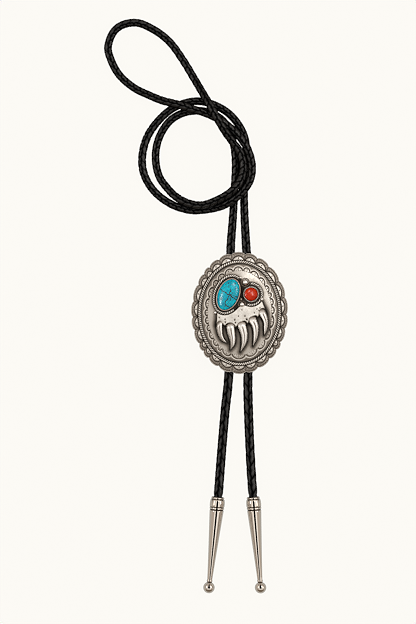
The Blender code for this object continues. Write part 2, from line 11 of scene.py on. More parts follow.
import bpy
import numpy as np
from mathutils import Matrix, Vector


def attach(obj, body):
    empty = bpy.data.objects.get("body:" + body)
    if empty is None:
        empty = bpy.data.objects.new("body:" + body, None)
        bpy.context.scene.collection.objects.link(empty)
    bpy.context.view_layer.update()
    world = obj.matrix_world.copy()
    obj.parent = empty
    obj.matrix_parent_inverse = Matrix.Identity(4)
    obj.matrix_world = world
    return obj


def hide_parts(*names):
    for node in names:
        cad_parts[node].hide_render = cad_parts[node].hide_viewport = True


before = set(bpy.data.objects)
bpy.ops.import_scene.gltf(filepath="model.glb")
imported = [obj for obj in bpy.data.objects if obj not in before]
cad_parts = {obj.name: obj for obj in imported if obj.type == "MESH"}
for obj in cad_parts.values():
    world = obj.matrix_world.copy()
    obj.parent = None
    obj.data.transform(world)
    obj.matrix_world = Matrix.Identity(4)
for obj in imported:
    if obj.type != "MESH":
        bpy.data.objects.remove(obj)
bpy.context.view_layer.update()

LOG = logging.getLogger("bolo_tie")
MM = 0.001
TURN = 2.0 * math.pi
TINY = 1e-12
Array = np.ndarray
Colour = tuple[float, float, float]
Place = tuple[float, float]

# Places read off the photograph: metres to a pixel, and the pixel over the middle of the slide
PIXEL = 0.0005205
SLIDE_PIXEL = (239.5, 313.0)
PICTURE_PIXELS = (416, 624)


class Slot(Enum):
    """Material slots of the record that the pieces built here stand for."""

    SILVER = "antique_silver"
    NICKEL = "nickel_silver"
    LEATHER = "black_leather"
    TURQUOISE = "turquoise"
    CORAL = "coral"


class BezelEdge(Enum):
    """How the upper edge of a stone's bezel is finished."""

    PLAIN = "plain"
    SERRATED = "serrated"


def seen(pixel_x: float, pixel_y: float) -> Place:
    """Turn a place in the photograph into a place in plan.

    Args:
        pixel_x: pixels from the picture's left edge.
        pixel_y: pixels from the picture's top edge.

    Returns:
        X and Y in metres.
    """
    return (pixel_x - SLIDE_PIXEL[0]) * PIXEL, (SLIDE_PIXEL[1] - pixel_y) * PIXEL


def ramp(low: float, high: float, value: Array) -> Array:
    """Rise smoothly from 0 to 1 as the value goes from low to high.

    Args:
        low: value that gives 0.
        high: value that gives 1.
        value: values to map.

    Returns:
        The mapped values.
    """
    share = np.clip((value - low) / (high - low), 0.0, 1.0)
    return share * share * (3.0 - 2.0 * share)


def bell(value: Array, middle: float, spread: float) -> Array:
    """A soft bump of height 1.

    Args:
        value: values to map.
        middle: value where the bump is highest.
        spread: distance over which it fades.

    Returns:
        The mapped values.
    """
    return np.exp(-(((value - middle) / spread) ** 2))


def blend(base: Array, other: Array | float, share: Array) -> Array:
    """Mix two values by a share, 0 for the first and 1 for the second."""
    return base + (other - base) * share


def lattice(rows: int, columns: int, closed: bool = True) -> Array:
    """Quads between neighbouring rows of a grid of vertices.

    Args:
        rows: number of rows.
        columns: vertices in a row.
        closed: whether the last column joins the first.

    Returns:
        Vertex numbers, four to a face.
    """
    row = np.arange(rows - 1)[:, None]
    column = np.arange(columns if closed else columns - 1)[None, :]
    after = (column + 1) % columns
    corners = (
        row * columns + column,
        row * columns + after,
        (row + 1) * columns + after,
        (row + 1) * columns + column,
    )
    return np.stack(np.broadcast_arrays(*corners), -1).reshape(-1, 4)


def fan(ring_start: int, columns: int, centre: int) -> Array:
    """Triangles that close a ring of vertices round one more vertex.

    Args:
        ring_start: number of the ring's first vertex.
        columns: vertices in the ring.
        centre: number of the vertex in the middle.

    Returns:
        Vertex numbers, three to a face.
    """
    first = np.arange(columns)
    after = (first + 1) % columns
    return np.stack([first + ring_start, after + ring_start, np.full(columns, centre)], -1)


def wrapped(rows: int, columns: int) -> list[Array]:
    """Faces of rings whose last one joins the first.

    Args:
        rows: number of rings.
        columns: vertices in a ring.

    Returns:
        Arrays of vertex numbers.
    """
    return [lattice(rows + 1, columns) % (rows * columns)]


def tube(rows: int, columns: int) -> list[Array]:
    """Faces of rings in a row, closed at each end by one more vertex.

    Args:
        rows: number of rings.
        columns: vertices in a ring.

    Returns:
        Arrays of vertex numbers; the two end vertices are numbered after the rings.
    """
    count = rows * columns
    return [
        lattice(rows, columns), fan(0, columns, count)[:, ::-1], fan(count - columns, columns, count + 1),
    ]


def lengths_along(points: Array) -> Array:
    """Length of a line of points from its start to each of them."""
    return np.concatenate([[0.0], np.cumsum(np.linalg.norm(np.diff(points, axis=0), axis=1))])


def cross_axes(way: Array) -> tuple[Array, Array]:
    """Directions across a line, one level with the surface and one over it.

    Args:
        way: unit direction of the line, at one place or in each row.

    Returns:
        The level direction and the one over the line.
    """
    side = np.cross(way, [0.0, 0.0, 1.0])
    side /= np.linalg.norm(side, axis=-1, keepdims=True)
    return side, np.cross(side, way)


def put(name: str, data: bpy.types.ID) -> bpy.types.Object:
    """Make an object of some data and link it to the scene."""
    made = bpy.data.objects.new(name, data)
    bpy.context.scene.collection.objects.link(made)
    return made


def turns(count: int) -> Array:
    """Evenly spaced turns once round, the first at 0."""
    return np.arange(count) / count


class MeshPiece:
    """Gathers vertices, faces and per-vertex values, and turns them into one object."""

    def __init__(self, name: str) -> None:
        """Start an empty piece.

        Args:
            name: name of the object to make.
        """
        self.name = name
        self.places: list[Array] = []
        self.faces: list[list[int]] = []
        self.patina: list[Array] = []
        self.count = 0

    def add(self, places: Array, faces: list[Array], patina: Array | float = 0.0) -> None:
        """Add one closed body, with its faces turned outward.

        Args:
            places: vertex places, three numbers each.
            faces: arrays of vertex numbers, counted from this body's first vertex.
            patina: tarnish of each vertex, with painted shade where a piece adds it, 0 polished and 1 black.
        """
        volume = 0.0
        for block in faces:
            first = places[block[:, 0]]
            for turn in range(1, block.shape[1] - 1):
                second, third = places[block[:, turn]], places[block[:, turn + 1]]
                volume += float(np.einsum("ij,ij->", first, np.cross(second, third)))
        for block in faces:
            ordered = block if volume > 0 else block[:, ::-1]
            self.faces += (ordered + self.count).tolist()
        self.places.append(places)
        self.patina.append(np.broadcast_to(patina, len(places)).astype(np.float32))
        self.count += len(places)

    def finish(self, material: bpy.types.Material, sharp: float = 0.0) -> bpy.types.Object:
        """Make the object, dress it and let it ride with the part.

        Args:
            material: its material.
            sharp: angle in degrees from which edges stay sharp, or 0 for none.

        Returns:
            The object.
        """
        mesh = bpy.data.meshes.new(self.name)
        mesh.from_pydata(np.concatenate(self.places).tolist(), [], self.faces)
        layer = mesh.attributes.new("patina", "FLOAT", "POINT")
        layer.data.foreach_set("value", np.clip(np.concatenate(self.patina), 0.0, 1.0))
        mesh.shade_smooth()
        if sharp:
            mesh.set_sharp_from_angle(angle=math.radians(sharp))
        mesh.materials.append(material)
        piece = put(self.name, mesh)
        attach(piece, "root")
        LOG.info("%s: %d vertices, %d faces", self.name, self.count, len(self.faces))
        return piece


class Graph:
    """Adds nodes and links to a node tree in few words."""

    def __init__(self, tree: bpy.types.NodeTree) -> None:
        """Keep the tree that nodes are added to."""
        self.tree = tree

    @classmethod
    def of_material(cls, name: str) -> tuple[bpy.types.Material, "Graph", bpy.types.Node]:
        """Start a material.

        Args:
            name: its name.

        Returns:
            The material, its graph and its shader.
        """
        material = bpy.data.materials.new(name)
        material.use_nodes = True
        return material, cls(material.node_tree), material.node_tree.nodes["Principled BSDF"]

    def feed(self, node: bpy.types.Node, inputs: dict) -> None:
        """Set or link a node's inputs.

        Args:
            node: the node.
            inputs: socket names or numbers with a value or another node's output socket.
        """
        for key, value in inputs.items():
            if isinstance(value, bpy.types.NodeSocket):
                self.tree.links.new(value, node.inputs[key])
            else:
                node.inputs[key].default_value = value

    def node(self, kind: str, inputs: dict | None = None, **settings: object) -> bpy.types.Node:
        """Add a node.

        Args:
            kind: the node's type name without its usual prefix.
            inputs: socket names or numbers with a value or another node's output socket.
            settings: properties of the node.

        Returns:
            The node.
        """
        made = self.tree.nodes.new(kind if kind.startswith("Node") else "ShaderNode" + kind)
        for key, value in settings.items():
            setattr(made, key, value)
        self.feed(made, inputs or {})
        return made

    def group(self, tree: bpy.types.NodeTree, inputs: dict) -> bpy.types.NodeOutputs:
        """Add a shared group and return its outputs."""
        return self.node("Group", inputs, node_tree=tree).outputs

    def place(self) -> bpy.types.NodeSocket:
        """Places on the piece, in metres."""
        return self.node("TexCoord").outputs["Object"]

    def patina(self) -> bpy.types.NodeSocket:
        """The mesh's own tarnish layer, which also holds painted shade."""
        return self.node("Attribute", attribute_name="patina").outputs["Fac"]

    def noise(self, place: object, scale: object, detail: float, **more: float) -> bpy.types.NodeOutputs:
        """Add a noise texture.

        Args:
            place: socket of the places.
            scale: its scale, a number or a socket.
            detail: its detail.
            more: its roughness and distortion.

        Returns:
            The texture's outputs.
        """
        inputs = {"Vector": place, "Scale": scale, "Detail": detail}
        inputs.update({key.capitalize(): value for key, value in more.items()})
        return self.node("TexNoise", inputs).outputs

    def bump(self, height: object, strength: float, distance: float) -> bpy.types.NodeSocket:
        """Turn a height from 0 to 1 into a normal."""
        return self.node("Bump", {"Height": height, "Strength": strength, "Distance": distance}).outputs[0]

    def maths(self, operation: str, *values: object) -> bpy.types.NodeSocket:
        """Add a maths node and return its result."""
        return self.node("Math", dict(enumerate(values)), operation=operation).outputs[0]

    def mix(self, share: object, first: object, second: object) -> bpy.types.NodeSocket:
        """Mix two colours.

        Args:
            share: 0 for the first colour and 1 for the second.
            first: a colour or a socket.
            second: a colour or a socket.

        Returns:
            The mixed colour's socket.
        """
        inputs = {0: share}
        for key, value in ((6, first), (7, second)):
            inputs[key] = value if isinstance(value, bpy.types.NodeSocket) else (*value, 1.0)
        return self.node("Mix", inputs, data_type="RGBA", clamp_factor=True).outputs[2]

    def stretch(self, value: object, low: float, high: float, to: Place = (0.0, 1.0)) -> bpy.types.NodeSocket:
        """Map a value from one range to another, held within it.

        Args:
            value: a socket.
            low: start of the range that is read.
            high: end of the range that is read.
            to: start and end of the range that is given out.

        Returns:
            The mapped value's socket.
        """
        inputs = {0: value, 1: low, 2: high, 3: to[0], 4: to[1]}
        return self.node("MapRange", inputs, clamp=True).outputs[0]


class EffectGroups:
    """Shader node groups that more than one finish uses, each built once."""

    def __init__(self) -> None:
        """Build the groups."""
        self.wear = self._wear()
        self.tarnish = self._tarnish()
        self.clouding = self._clouding()

    @staticmethod
    def _new(name: str, inputs: dict[str, str], outputs: dict[str, str]) -> tuple[Graph, bpy.types.NodeOutputs]:
        """Start a group with named sockets.

        Args:
            name: the group's name.
            inputs: names and socket types that go in.
            outputs: names and socket types that come out.

        Returns:
            The group's graph and what goes in.
        """
        tree = bpy.data.node_groups.new(name, "ShaderNodeTree")
        for direction, sockets in (("INPUT", inputs), ("OUTPUT", outputs)):
            for key, kind in sockets.items():
                tree.interface.new_socket(key, in_out=direction, socket_type="NodeSocket" + kind)
        graph = Graph(tree)
        return graph, graph.node("NodeGroupInput").outputs

    @staticmethod
    def _close(graph: Graph, outputs: dict[str, bpy.types.NodeSocket]) -> bpy.types.NodeTree:
        """Join a group's results to its output node and return the group."""
        graph.node("NodeGroupOutput", outputs)
        return graph.tree

    def _wear(self) -> bpy.types.NodeTree:
        """Fine scratches and soft dents of handled metal, as a height and a mask."""
        graph, entry = self._new(
            "Handling wear",
            {"Scale": "Float", "Scratches": "Float", "Dents": "Float"},
            {"Height": "Float", "Mask": "Float"},
        )
        place = graph.place()
        dents = graph.noise(place, entry["Scale"], 4.0, roughness=0.6)["Fac"]
        scratch_turn, scratch_stretch = (0.2, 0.1, 0.7), (9.0, 0.7, 3.0)
        lean = graph.node("Mapping", {"Vector": place, "Rotation": scratch_turn, "Scale": scratch_stretch})
        lines = graph.noise(lean.outputs[0], entry["Scale"], 2.0)["Fac"]
        scratches = graph.maths("MULTIPLY", graph.stretch(lines, 0.56, 0.7), entry["Scratches"])
        height = graph.maths("SUBTRACT", graph.maths("MULTIPLY", dents, entry["Dents"]), scratches)
        return self._close(graph, {"Height": height, "Mask": graph.stretch(dents, 0.35, 0.7)})

    def _tarnish(self) -> bpy.types.NodeTree:
        """Polished metal that turns through a warm brown to black where the tarnish and painted shade are strong."""
        graph, entry = self._new(
            "Tarnish",
            {"Tarnish and shade": "Float", "Scale": "Float", "Mottle": "Float", "Polished": "Color", "Warm": "Color",
             "Black": "Color"},
            {"Color": "Color", "Roughness": "Float"},
        )
        cloud_share, speck_fineness = 0.65, 6.0
        place = graph.place()
        cloud = graph.noise(place, entry["Scale"], 6.0, roughness=0.65)["Fac"]
        speck = graph.noise(place, graph.maths("MULTIPLY", entry["Scale"], speck_fineness), 2.0)["Fac"]
        mixed = graph.maths(
            "ADD", graph.maths("MULTIPLY", cloud, cloud_share), graph.maths("MULTIPLY", speck, 1.0 - cloud_share)
        )
        drift = graph.maths("MULTIPLY", graph.maths("SUBTRACT", mixed, 0.5), entry["Mottle"])
        amount = graph.stretch(graph.maths("ADD", entry["Tarnish and shade"], drift), 0.0, 1.0)
        brown = graph.mix(graph.stretch(amount, 0.0, 0.55), entry["Polished"], entry["Warm"])
        colour = graph.mix(graph.stretch(amount, 0.45, 1.0), brown, entry["Black"])
        return self._close(graph, {"Color": colour, "Roughness": graph.stretch(amount, 0.0, 0.8)})

    def _clouding(self) -> bpy.types.NodeTree:
        """Cloudy depth of polished stone, as a colour and a faint height."""
        graph, entry = self._new(
            "Stone clouding",
            {"Scale": "Float", "Body": "Color", "Deep": "Color", "Pale": "Color"},
            {"Color": "Color", "Height": "Float"},
        )
        cloud = graph.noise(graph.place(), entry["Scale"], 5.0, roughness=0.6, distortion=0.6)["Fac"]
        deep = graph.mix(graph.stretch(cloud, 0.56, 0.34), entry["Body"], entry["Deep"])
        colour = graph.mix(graph.stretch(cloud, 0.55, 0.78), deep, entry["Pale"])
        return self._close(graph, {"Color": colour, "Height": cloud})


@dataclass(frozen=True)
class MetalFinish:
    """A metal that is polished on its high places and tarnished in its low ones."""

    name: str
    polished: Colour
    warm: Colour
    black: Colour
    smooth_roughness: float
    tarnished_roughness: float
    mottle: float
    mottle_scale: float
    scratches: float
    dents: float
    wear_scale: float
    relief: float
    unevenness: float = 0.08
    bump_strength: float = 0.35

    def build(self, groups: EffectGroups) -> bpy.types.Material:
        """Make the material.

        Args:
            groups: the shared shader node groups.

        Returns:
            The material.
        """
        material, graph, shader = Graph.of_material(self.name)
        tarnish = graph.group(groups.tarnish, {
            "Tarnish and shade": graph.patina(), "Scale": self.mottle_scale, "Mottle": self.mottle,
            "Polished": (*self.polished, 1.0), "Warm": (*self.warm, 1.0), "Black": (*self.black, 1.0),
        })
        wear = graph.group(
            groups.wear, {"Scale": self.wear_scale, "Scratches": self.scratches, "Dents": self.dents}
        )
        rough = graph.stretch(
            tarnish["Roughness"], 0.0, 1.0, (self.smooth_roughness, self.tarnished_roughness)
        )
        uneven = graph.maths("MULTIPLY", wear["Mask"], self.unevenness)
        graph.feed(shader, {
            "Base Color": tarnish["Color"], "Roughness": graph.maths("ADD", rough, uneven),
            "Normal": graph.bump(wear["Height"], self.bump_strength, self.relief), "Metallic": 1.0,
        })
        return material


@dataclass(frozen=True)
class StoneFinish:
    """A polished stone with cloudy depth and, where the patina layer says so, dark matrix."""

    name: str
    body: Colour
    deep: Colour
    pale: Colour
    matrix: Colour
    cloud_scale: float
    roughness: float
    matrix_roughness: float = 0.12
    specular: float = 0.18
    web_scale: float = 520.0
    web_width: float = 0.075
    web_strength: float = 0.0
    web_patches: Place = (0.50, 0.58)
    patch_scale: float = 330.0
    bend_scale: float = 700.0
    bend: float = 0.0011
    ragged_scale: float = 1500.0
    raggedness: float = 1.2
    vein_edge: Place = (0.42, 0.80)
    relief: float = 0.00001
    bump_strength: float = 0.03

    def build(self, groups: EffectGroups) -> bpy.types.Material:
        """Make the material.

        Args:
            groups: the shared shader node groups.

        Returns:
            The material.
        """
        material, graph, shader = Graph.of_material(self.name)
        clouding = graph.group(groups.clouding, {
            "Scale": self.cloud_scale, "Body": (*self.body, 1.0), "Deep": (*self.deep, 1.0),
            "Pale": (*self.pale, 1.0),
        })
        place = graph.place()
        ragged = graph.noise(place, self.ragged_scale, 5.0)["Fac"]
        drift = graph.noise(place, self.bend_scale, 3.0)["Color"]
        bent = graph.node("VectorMath", {0: drift, 1: (self.bend, self.bend, 0.0)}, operation="MULTIPLY")
        moved = graph.node("VectorMath", {0: place, 1: bent.outputs[0]}, operation="ADD")
        web = graph.node(
            "TexVoronoi", {"Vector": moved.outputs[0], "Scale": self.web_scale}, feature="DISTANCE_TO_EDGE"
        ).outputs["Distance"]
        patches = graph.noise(place, self.patch_scale, 1.0)["Fac"]
        threads = graph.maths(
            "MULTIPLY", graph.stretch(web, self.web_width, 0.0), graph.stretch(patches, *self.web_patches)
        )
        tear = graph.maths("MULTIPLY", graph.maths("SUBTRACT", ragged, 0.5), self.raggedness)
        vein = graph.stretch(graph.maths("ADD", graph.patina(), tear), *self.vein_edge)
        mask = graph.maths("MAXIMUM", vein, graph.maths("MULTIPLY", threads, self.web_strength))
        sunk = graph.maths("SUBTRACT", graph.maths("MULTIPLY", clouding["Height"], 0.5), vein)
        graph.feed(shader, {
            "Base Color": graph.mix(mask, clouding["Color"], self.matrix),
            "Roughness": graph.stretch(mask, 0.0, 1.0, (self.roughness, self.roughness + self.matrix_roughness)),
            "Normal": graph.bump(sunk, self.bump_strength, self.relief),
            "Specular IOR Level": self.specular,
        })
        return material


@dataclass(frozen=True)
class LeatherFinish:
    """Black dyed leather whose strands are glossy along their backs and go matt between them, with painted shade
    darkening the grooves.
    """

    name: str
    # The grooves' colour, darker than the backs' as painted shade
    groove: Colour
    back: Colour
    grain_scale: float
    back_depth: Place = (0.72, 0.06)
    roughness: Place = (0.8, 0.5)
    unevenness: float = 0.10
    specular: float = 0.06
    coat_roughness: float = 0.20
    coat_ior: float = 1.56
    wear_coarseness: float = 0.4
    scratches: float = 0.2
    dents: float = 0.8
    pore_depth: float = 0.5
    relief: float = 0.00006
    bump_strength: float = 0.3

    def build(self, groups: EffectGroups) -> bpy.types.Material:
        """Make the material.

        Args:
            groups: the shared shader node groups.

        Returns:
            The material.
        """
        material, graph, shader = Graph.of_material(self.name)
        pores = graph.node("TexVoronoi", {"Vector": graph.place(), "Scale": self.grain_scale})
        wear = graph.group(groups.wear, {
            "Scale": self.grain_scale * self.wear_coarseness, "Scratches": self.scratches, "Dents": self.dents,
        })
        deep = graph.maths("MULTIPLY", pores.outputs["Distance"], self.pore_depth)
        back = graph.stretch(graph.patina(), *self.back_depth)
        uneven = graph.maths("MULTIPLY", wear["Mask"], self.unevenness)
        height = graph.maths("ADD", deep, wear["Height"])
        # Painted shade: the colour darkens from the strands' backs into the grooves and at the cord's edges.
        graph.feed(shader, {
            "Base Color": graph.mix(back, self.groove, self.back),
            "Roughness": graph.maths("ADD", graph.stretch(back, 0.0, 1.0, self.roughness), uneven),
            "Normal": graph.bump(height, self.bump_strength, self.relief),
            "Specular IOR Level": self.specular, "Coat Weight": back,
            "Coat Roughness": self.coat_roughness, "Coat IOR": self.coat_ior,
        })
        return material


class Finishes:
    """Every finish of the tie, built once."""

    def __init__(self) -> None:
        """Build the materials from their shared groups."""
        groups = EffectGroups()
        self.silver = MetalFinish(
            "antique_silver", polished=(0.90, 0.865, 0.81), warm=(0.42, 0.37, 0.32), black=(0.022, 0.018, 0.015),
            smooth_roughness=0.26, tarnished_roughness=0.5, mottle=0.26, mottle_scale=420.0,
            scratches=0.3, dents=0.4, wear_scale=900.0, relief=0.00005,
        ).build(groups)
        self.pad_silver = MetalFinish(
            "hammered_silver", polished=(0.96, 0.93, 0.88), warm=(0.50, 0.45, 0.39), black=(0.03, 0.025, 0.02),
            smooth_roughness=0.32, tarnished_roughness=0.5, mottle=0.95, mottle_scale=420.0,
            scratches=0.2, dents=1.0, wear_scale=600.0, relief=0.00016,
        ).build(groups)
        self.bright_silver = MetalFinish(
            "bright_silver", polished=(0.97, 0.94, 0.90), warm=(0.50, 0.40, 0.32), black=(0.02, 0.016, 0.013),
            smooth_roughness=0.14, tarnished_roughness=0.42, mottle=0.08, mottle_scale=600.0,
            scratches=0.1, dents=0.15, wear_scale=1200.0, relief=0.00002,
        ).build(groups)
        self.claw_silver = MetalFinish(
            "claw_silver", polished=(0.98, 0.955, 0.92), warm=(0.46, 0.40, 0.35), black=(0.03, 0.025, 0.02),
            smooth_roughness=0.24, tarnished_roughness=0.45, mottle=0.06, mottle_scale=600.0,
            scratches=0.1, dents=0.1, wear_scale=900.0, relief=0.00001,
        ).build(groups)
        self.wire_silver = MetalFinish(
            "wire_silver", polished=(0.99, 0.965, 0.92), warm=(0.46, 0.38, 0.30), black=(0.02, 0.016, 0.013),
            smooth_roughness=0.30, tarnished_roughness=0.5, mottle=0.08, mottle_scale=900.0,
            scratches=0.1, dents=0.15, wear_scale=1200.0, relief=0.00002,
        ).build(groups)
        self.nickel = MetalFinish(
            "nickel_silver", polished=(0.84, 0.77, 0.69), warm=(0.36, 0.30, 0.25), black=(0.03, 0.025, 0.02),
            smooth_roughness=0.045, tarnished_roughness=0.35, mottle=0.02, mottle_scale=120.0,
            scratches=0.15, dents=0.05, wear_scale=500.0, relief=0.000004, unevenness=0.02,
        ).build(groups)
        self.steel = MetalFinish(
            "clip_steel", polished=(0.58, 0.58, 0.59), warm=(0.40, 0.39, 0.38), black=(0.05, 0.05, 0.05),
            smooth_roughness=0.32, tarnished_roughness=0.5, mottle=0.3, mottle_scale=200.0,
            scratches=1.0, dents=0.3, wear_scale=700.0, relief=0.00008,
        ).build(groups)
        self.turquoise = StoneFinish(
            "turquoise", body=(0.0, 0.215, 0.275), deep=(0.0, 0.13, 0.19), pale=(0.0, 0.32, 0.39),
            matrix=(0.016, 0.009, 0.006), cloud_scale=330.0, roughness=0.20, web_strength=0.75,
        ).build(groups)
        self.coral = StoneFinish(
            "coral", body=(0.285, 0.013, 0.0004), deep=(0.21, 0.007, 0.0003), pale=(0.34, 0.022, 0.0008),
            matrix=(0.2, 0.02, 0.01), cloud_scale=240.0, roughness=0.20, specular=0.14,
        ).build(groups)
        self.leather = LeatherFinish(
            "black_leather", groove=(0.0006, 0.0006, 0.0007), back=(0.0034, 0.0033, 0.0033), grain_scale=3200.0,
        ).build(groups)


@dataclass(frozen=True)
class Dish:
    """The dished plate that all of the slide's silver lies on."""

    width: float = 0.0505
    height: float = 0.0635
    wall: float = 0.0012
    rim_top: float = 0.0074
    flange_rise: float = 0.0009
    dome_rise: float = 0.0042
    rope_width: float = 0.0415
    rope_height: float = 0.0532

    @property
    def semi_x(self) -> float:
        """Half the slide's width."""
        return self.width / 2

    @property
    def semi_y(self) -> float:
        """Half the slide's height."""
        return self.height / 2

    @property
    def flange(self) -> float:
        """Share of the half height where the dome ends and the flat border starts."""
        return self.rope_height / self.height

    def share(self, x: Array, y: Array) -> Array:
        """How far out a place is, 0 in the middle and 1 at the rim."""
        return np.hypot(x / self.semi_x, y / self.semi_y)

    def level(self, x: Array, y: Array) -> Array:
        """Height of the plate's upper surface.

        Args:
            x: places across.
            y: places along.

        Returns:
            Heights in metres.
        """
        share = self.share(x, y)
        border = self.rim_top + self.flange_rise * (1.0 - share) / (1.0 - self.flange)
        dome = self.rim_top + self.flange_rise + self.dome_rise * (1.0 - (share / self.flange) ** 2)
        return np.where(share >= self.flange, border, dome)

    def tangent_level(self, centre: Place, x: Array, y: Array) -> Array:
        """Height of the plane that touches the dome under a stone's middle.

        Args:
            centre: the stone's middle.
            x: places across.
            y: places along.

        Returns:
            Heights in metres.
        """
        fall = 2.0 * self.dome_rise / self.flange**2
        middle = float(self.level(np.array(centre[0]), np.array(centre[1])))
        return (
            middle
            - fall * centre[0] / self.semi_x**2 * (x - centre[0])
            - fall * centre[1] / self.semi_y**2 * (y - centre[1])
        )

    def place(self, turn: Array, share: Array) -> tuple[Array, Array]:
        """Place in plan at a turn clockwise from the top and a share of the rim's ellipse."""
        angle = TURN * turn
        return self.semi_x * share * np.sin(angle), self.semi_y * share * np.cos(angle)


@dataclass(frozen=True)
class Oval:
    """An ellipse in plan, such as a stone's girdle or the line of a rope wire."""

    centre: Place
    semi_long: float
    semi_short: float
    tilt: float = 0.0

    def wider(self, extra: float) -> "Oval":
        """The same ellipse, wider by a margin all round."""
        return Oval(self.centre, self.semi_long + extra, self.semi_short + extra, self.tilt)

    def place(self, turn: Array, share: Array | float = 1.0) -> tuple[Array, Array]:
        """Place in plan.

        Args:
            turn: turns clockwise from the end of the long axis.
            share: 0 in the middle and 1 on the ellipse.

        Returns:
            X and Y.
        """
        angle = TURN * turn
        along = self.semi_long * np.cos(angle) * share
        across = self.semi_short * np.sin(angle) * share
        x = self.centre[0] + across * math.cos(self.tilt) + along * math.sin(self.tilt)
        y = self.centre[1] - across * math.sin(self.tilt) + along * math.cos(self.tilt)
        return x, y

    def outside(self, x: Array, y: Array) -> Array:
        """Rough distance from the ellipse, negative inside it."""
        dx, dy = x - self.centre[0], y - self.centre[1]
        along = dx * math.sin(self.tilt) + dy * math.cos(self.tilt)
        across = dx * math.cos(self.tilt) - dy * math.sin(self.tilt)
        reach = np.hypot(along, across) + 1e-9
        unit = np.hypot(along / self.semi_long, across / self.semi_short) + 1e-9
        return reach * (1.0 - 1.0 / unit)


TURQUOISE_OVAL = Oval((-0.0059, 0.0095), 0.0082, 0.00515, math.radians(22.5))
CORAL_OVAL = Oval((0.0059, 0.0097), 0.00335, 0.00335)

# How far outside its stone each cup's rope wire lies
TURQUOISE_ROPE = 1.9 * MM
CORAL_ROPE = 2.2 * MM


@dataclass(frozen=True)
class Claw:
    """One claw's edges as seen: left and right pixels from base to tip, and the tip's pixel."""

    left: tuple[Place, ...]
    right: tuple[Place, ...]
    tip: Place

    def edges(self, steps: int) -> tuple[Array, Array]:
        """Places along the two edges, from the base to the tip.

        Args:
            steps: number of places along each edge.

        Returns:
            Left and right edge, an X and a Y in each row.
        """
        share = np.linspace(0.0, 1.0, steps)
        sides = []
        for edge in (self.left, self.right):
            points = np.array([seen(*place) for place in (*edge, self.tip)])
            marks = lengths_along(points)
            sides.append(smooth_through(points, marks / marks[-1], share))
        return sides[0], sides[1]

    def outline(self) -> Array:
        """The claw's outline in plan, once round."""
        left, right = self.edges(14)
        return np.concatenate([left, right[::-1][1:]])


def smooth_through(points: Array, marks: Array, wanted: Array) -> Array:
    """Places on a smooth line through points, by cubic spans with shared slopes.

    Args:
        points: places to go through.
        marks: rising parameter of each point.
        wanted: parameters to read.

    Returns:
        A place for each wanted parameter.
    """
    slopes = np.gradient(points, marks, axis=0)
    index = np.clip(np.searchsorted(marks, wanted, side="right") - 1, 0, len(marks) - 2)
    span = (marks[index + 1] - marks[index])[:, None]
    share = ((wanted - marks[index])[:, None]) / span
    first, second = points[index], points[index + 1]
    rise, fall = slopes[index] * span, slopes[index + 1] * span
    return (
        first * (1 + 2 * share) * (1 - share) ** 2 + rise * share * (1 - share) ** 2
        + second * share**2 * (3 - 2 * share) + fall * share**2 * (share - 1)
    )


def span_distance(start: Array, end: Array, x: Array, y: Array) -> Array:
    """Distance in plan from the straight line between two places.

    Args:
        start: one end of the line.
        end: its other end.
        x: places across.
        y: places along.

    Returns:
        Distances in metres.
    """
    edge = end - start
    along = ((x - start[0]) * edge[0] + (y - start[1]) * edge[1]) / max(float(edge @ edge), TINY)
    along = np.clip(along, 0.0, 1.0)
    return np.hypot(x - start[0] - along * edge[0], y - start[1] - along * edge[1])


def outline_distance(outline: Array, x: Array, y: Array) -> Array:
    """Distance in plan from a closed outline, negative inside it.

    Args:
        outline: corners once round.
        x: places across.
        y: places along.

    Returns:
        Distances in metres.
    """
    best = np.full(x.shape, 1.0)
    inside = np.zeros(x.shape, bool)
    for start, end in zip(outline, np.roll(outline, -1, axis=0)):
        edge = end - start
        best = np.minimum(best, span_distance(start, end, x, y))
        crosses = (start[1] > y) != (end[1] > y)
        reach = start[0] + (y - start[1]) * edge[0] / (edge[1] if abs(edge[1]) > TINY else TINY)
        inside ^= crosses & (x < reach)
    return np.where(inside, -best, best)


CLAWS = (
    Claw(
        ((216.6, 323.4), (216.2, 326.5), (216.8, 331.3), (218.5, 336.3), (221.5, 340.5)),
        ((222.6, 321.6), (222.5, 325.0), (222.5, 329.6), (222.7, 334.6), (224.4, 339.2)),
        (227.2, 342.9),
    ),
    Claw(
        ((226.3, 325.0), (226.1, 328.4), (226.9, 332.9), (229.0, 338.8), (230.1, 343.9)),
        ((234.2, 324.6), (234.7, 328.4), (235.4, 335.5), (235.4, 340.5), (234.5, 344.7)),
        (230.3, 349.6),
    ),
    Claw(
        ((236.8, 324.0), (237.4, 327.0), (239.1, 331.3), (240.8, 336.7), (241.2, 342.2)),
        ((245.4, 322.4), (246.2, 325.6), (247.4, 331.3), (247.6, 337.1), (246.3, 343.0)),
        (240.2, 352.0),
    ),
    Claw(
        ((247.9, 319.4), (249.0, 322.6), (251.4, 326.6), (252.8, 332.1), (253.0, 337.6)),
        ((255.8, 317.2), (257.0, 320.6), (258.3, 324.9), (258.5, 330.4), (257.7, 336.3)),
        (252.8, 346.2),
    ),
    Claw(
        ((257.9, 312.0), (259.0, 315.2), (261.0, 318.6), (263.1, 322.8), (263.3, 327.9)),
        ((264.6, 309.6), (266.3, 313.4), (267.8, 319.0), (267.8, 325.6), (266.4, 331.2)),
        (263.9, 335.4),
    ),
)

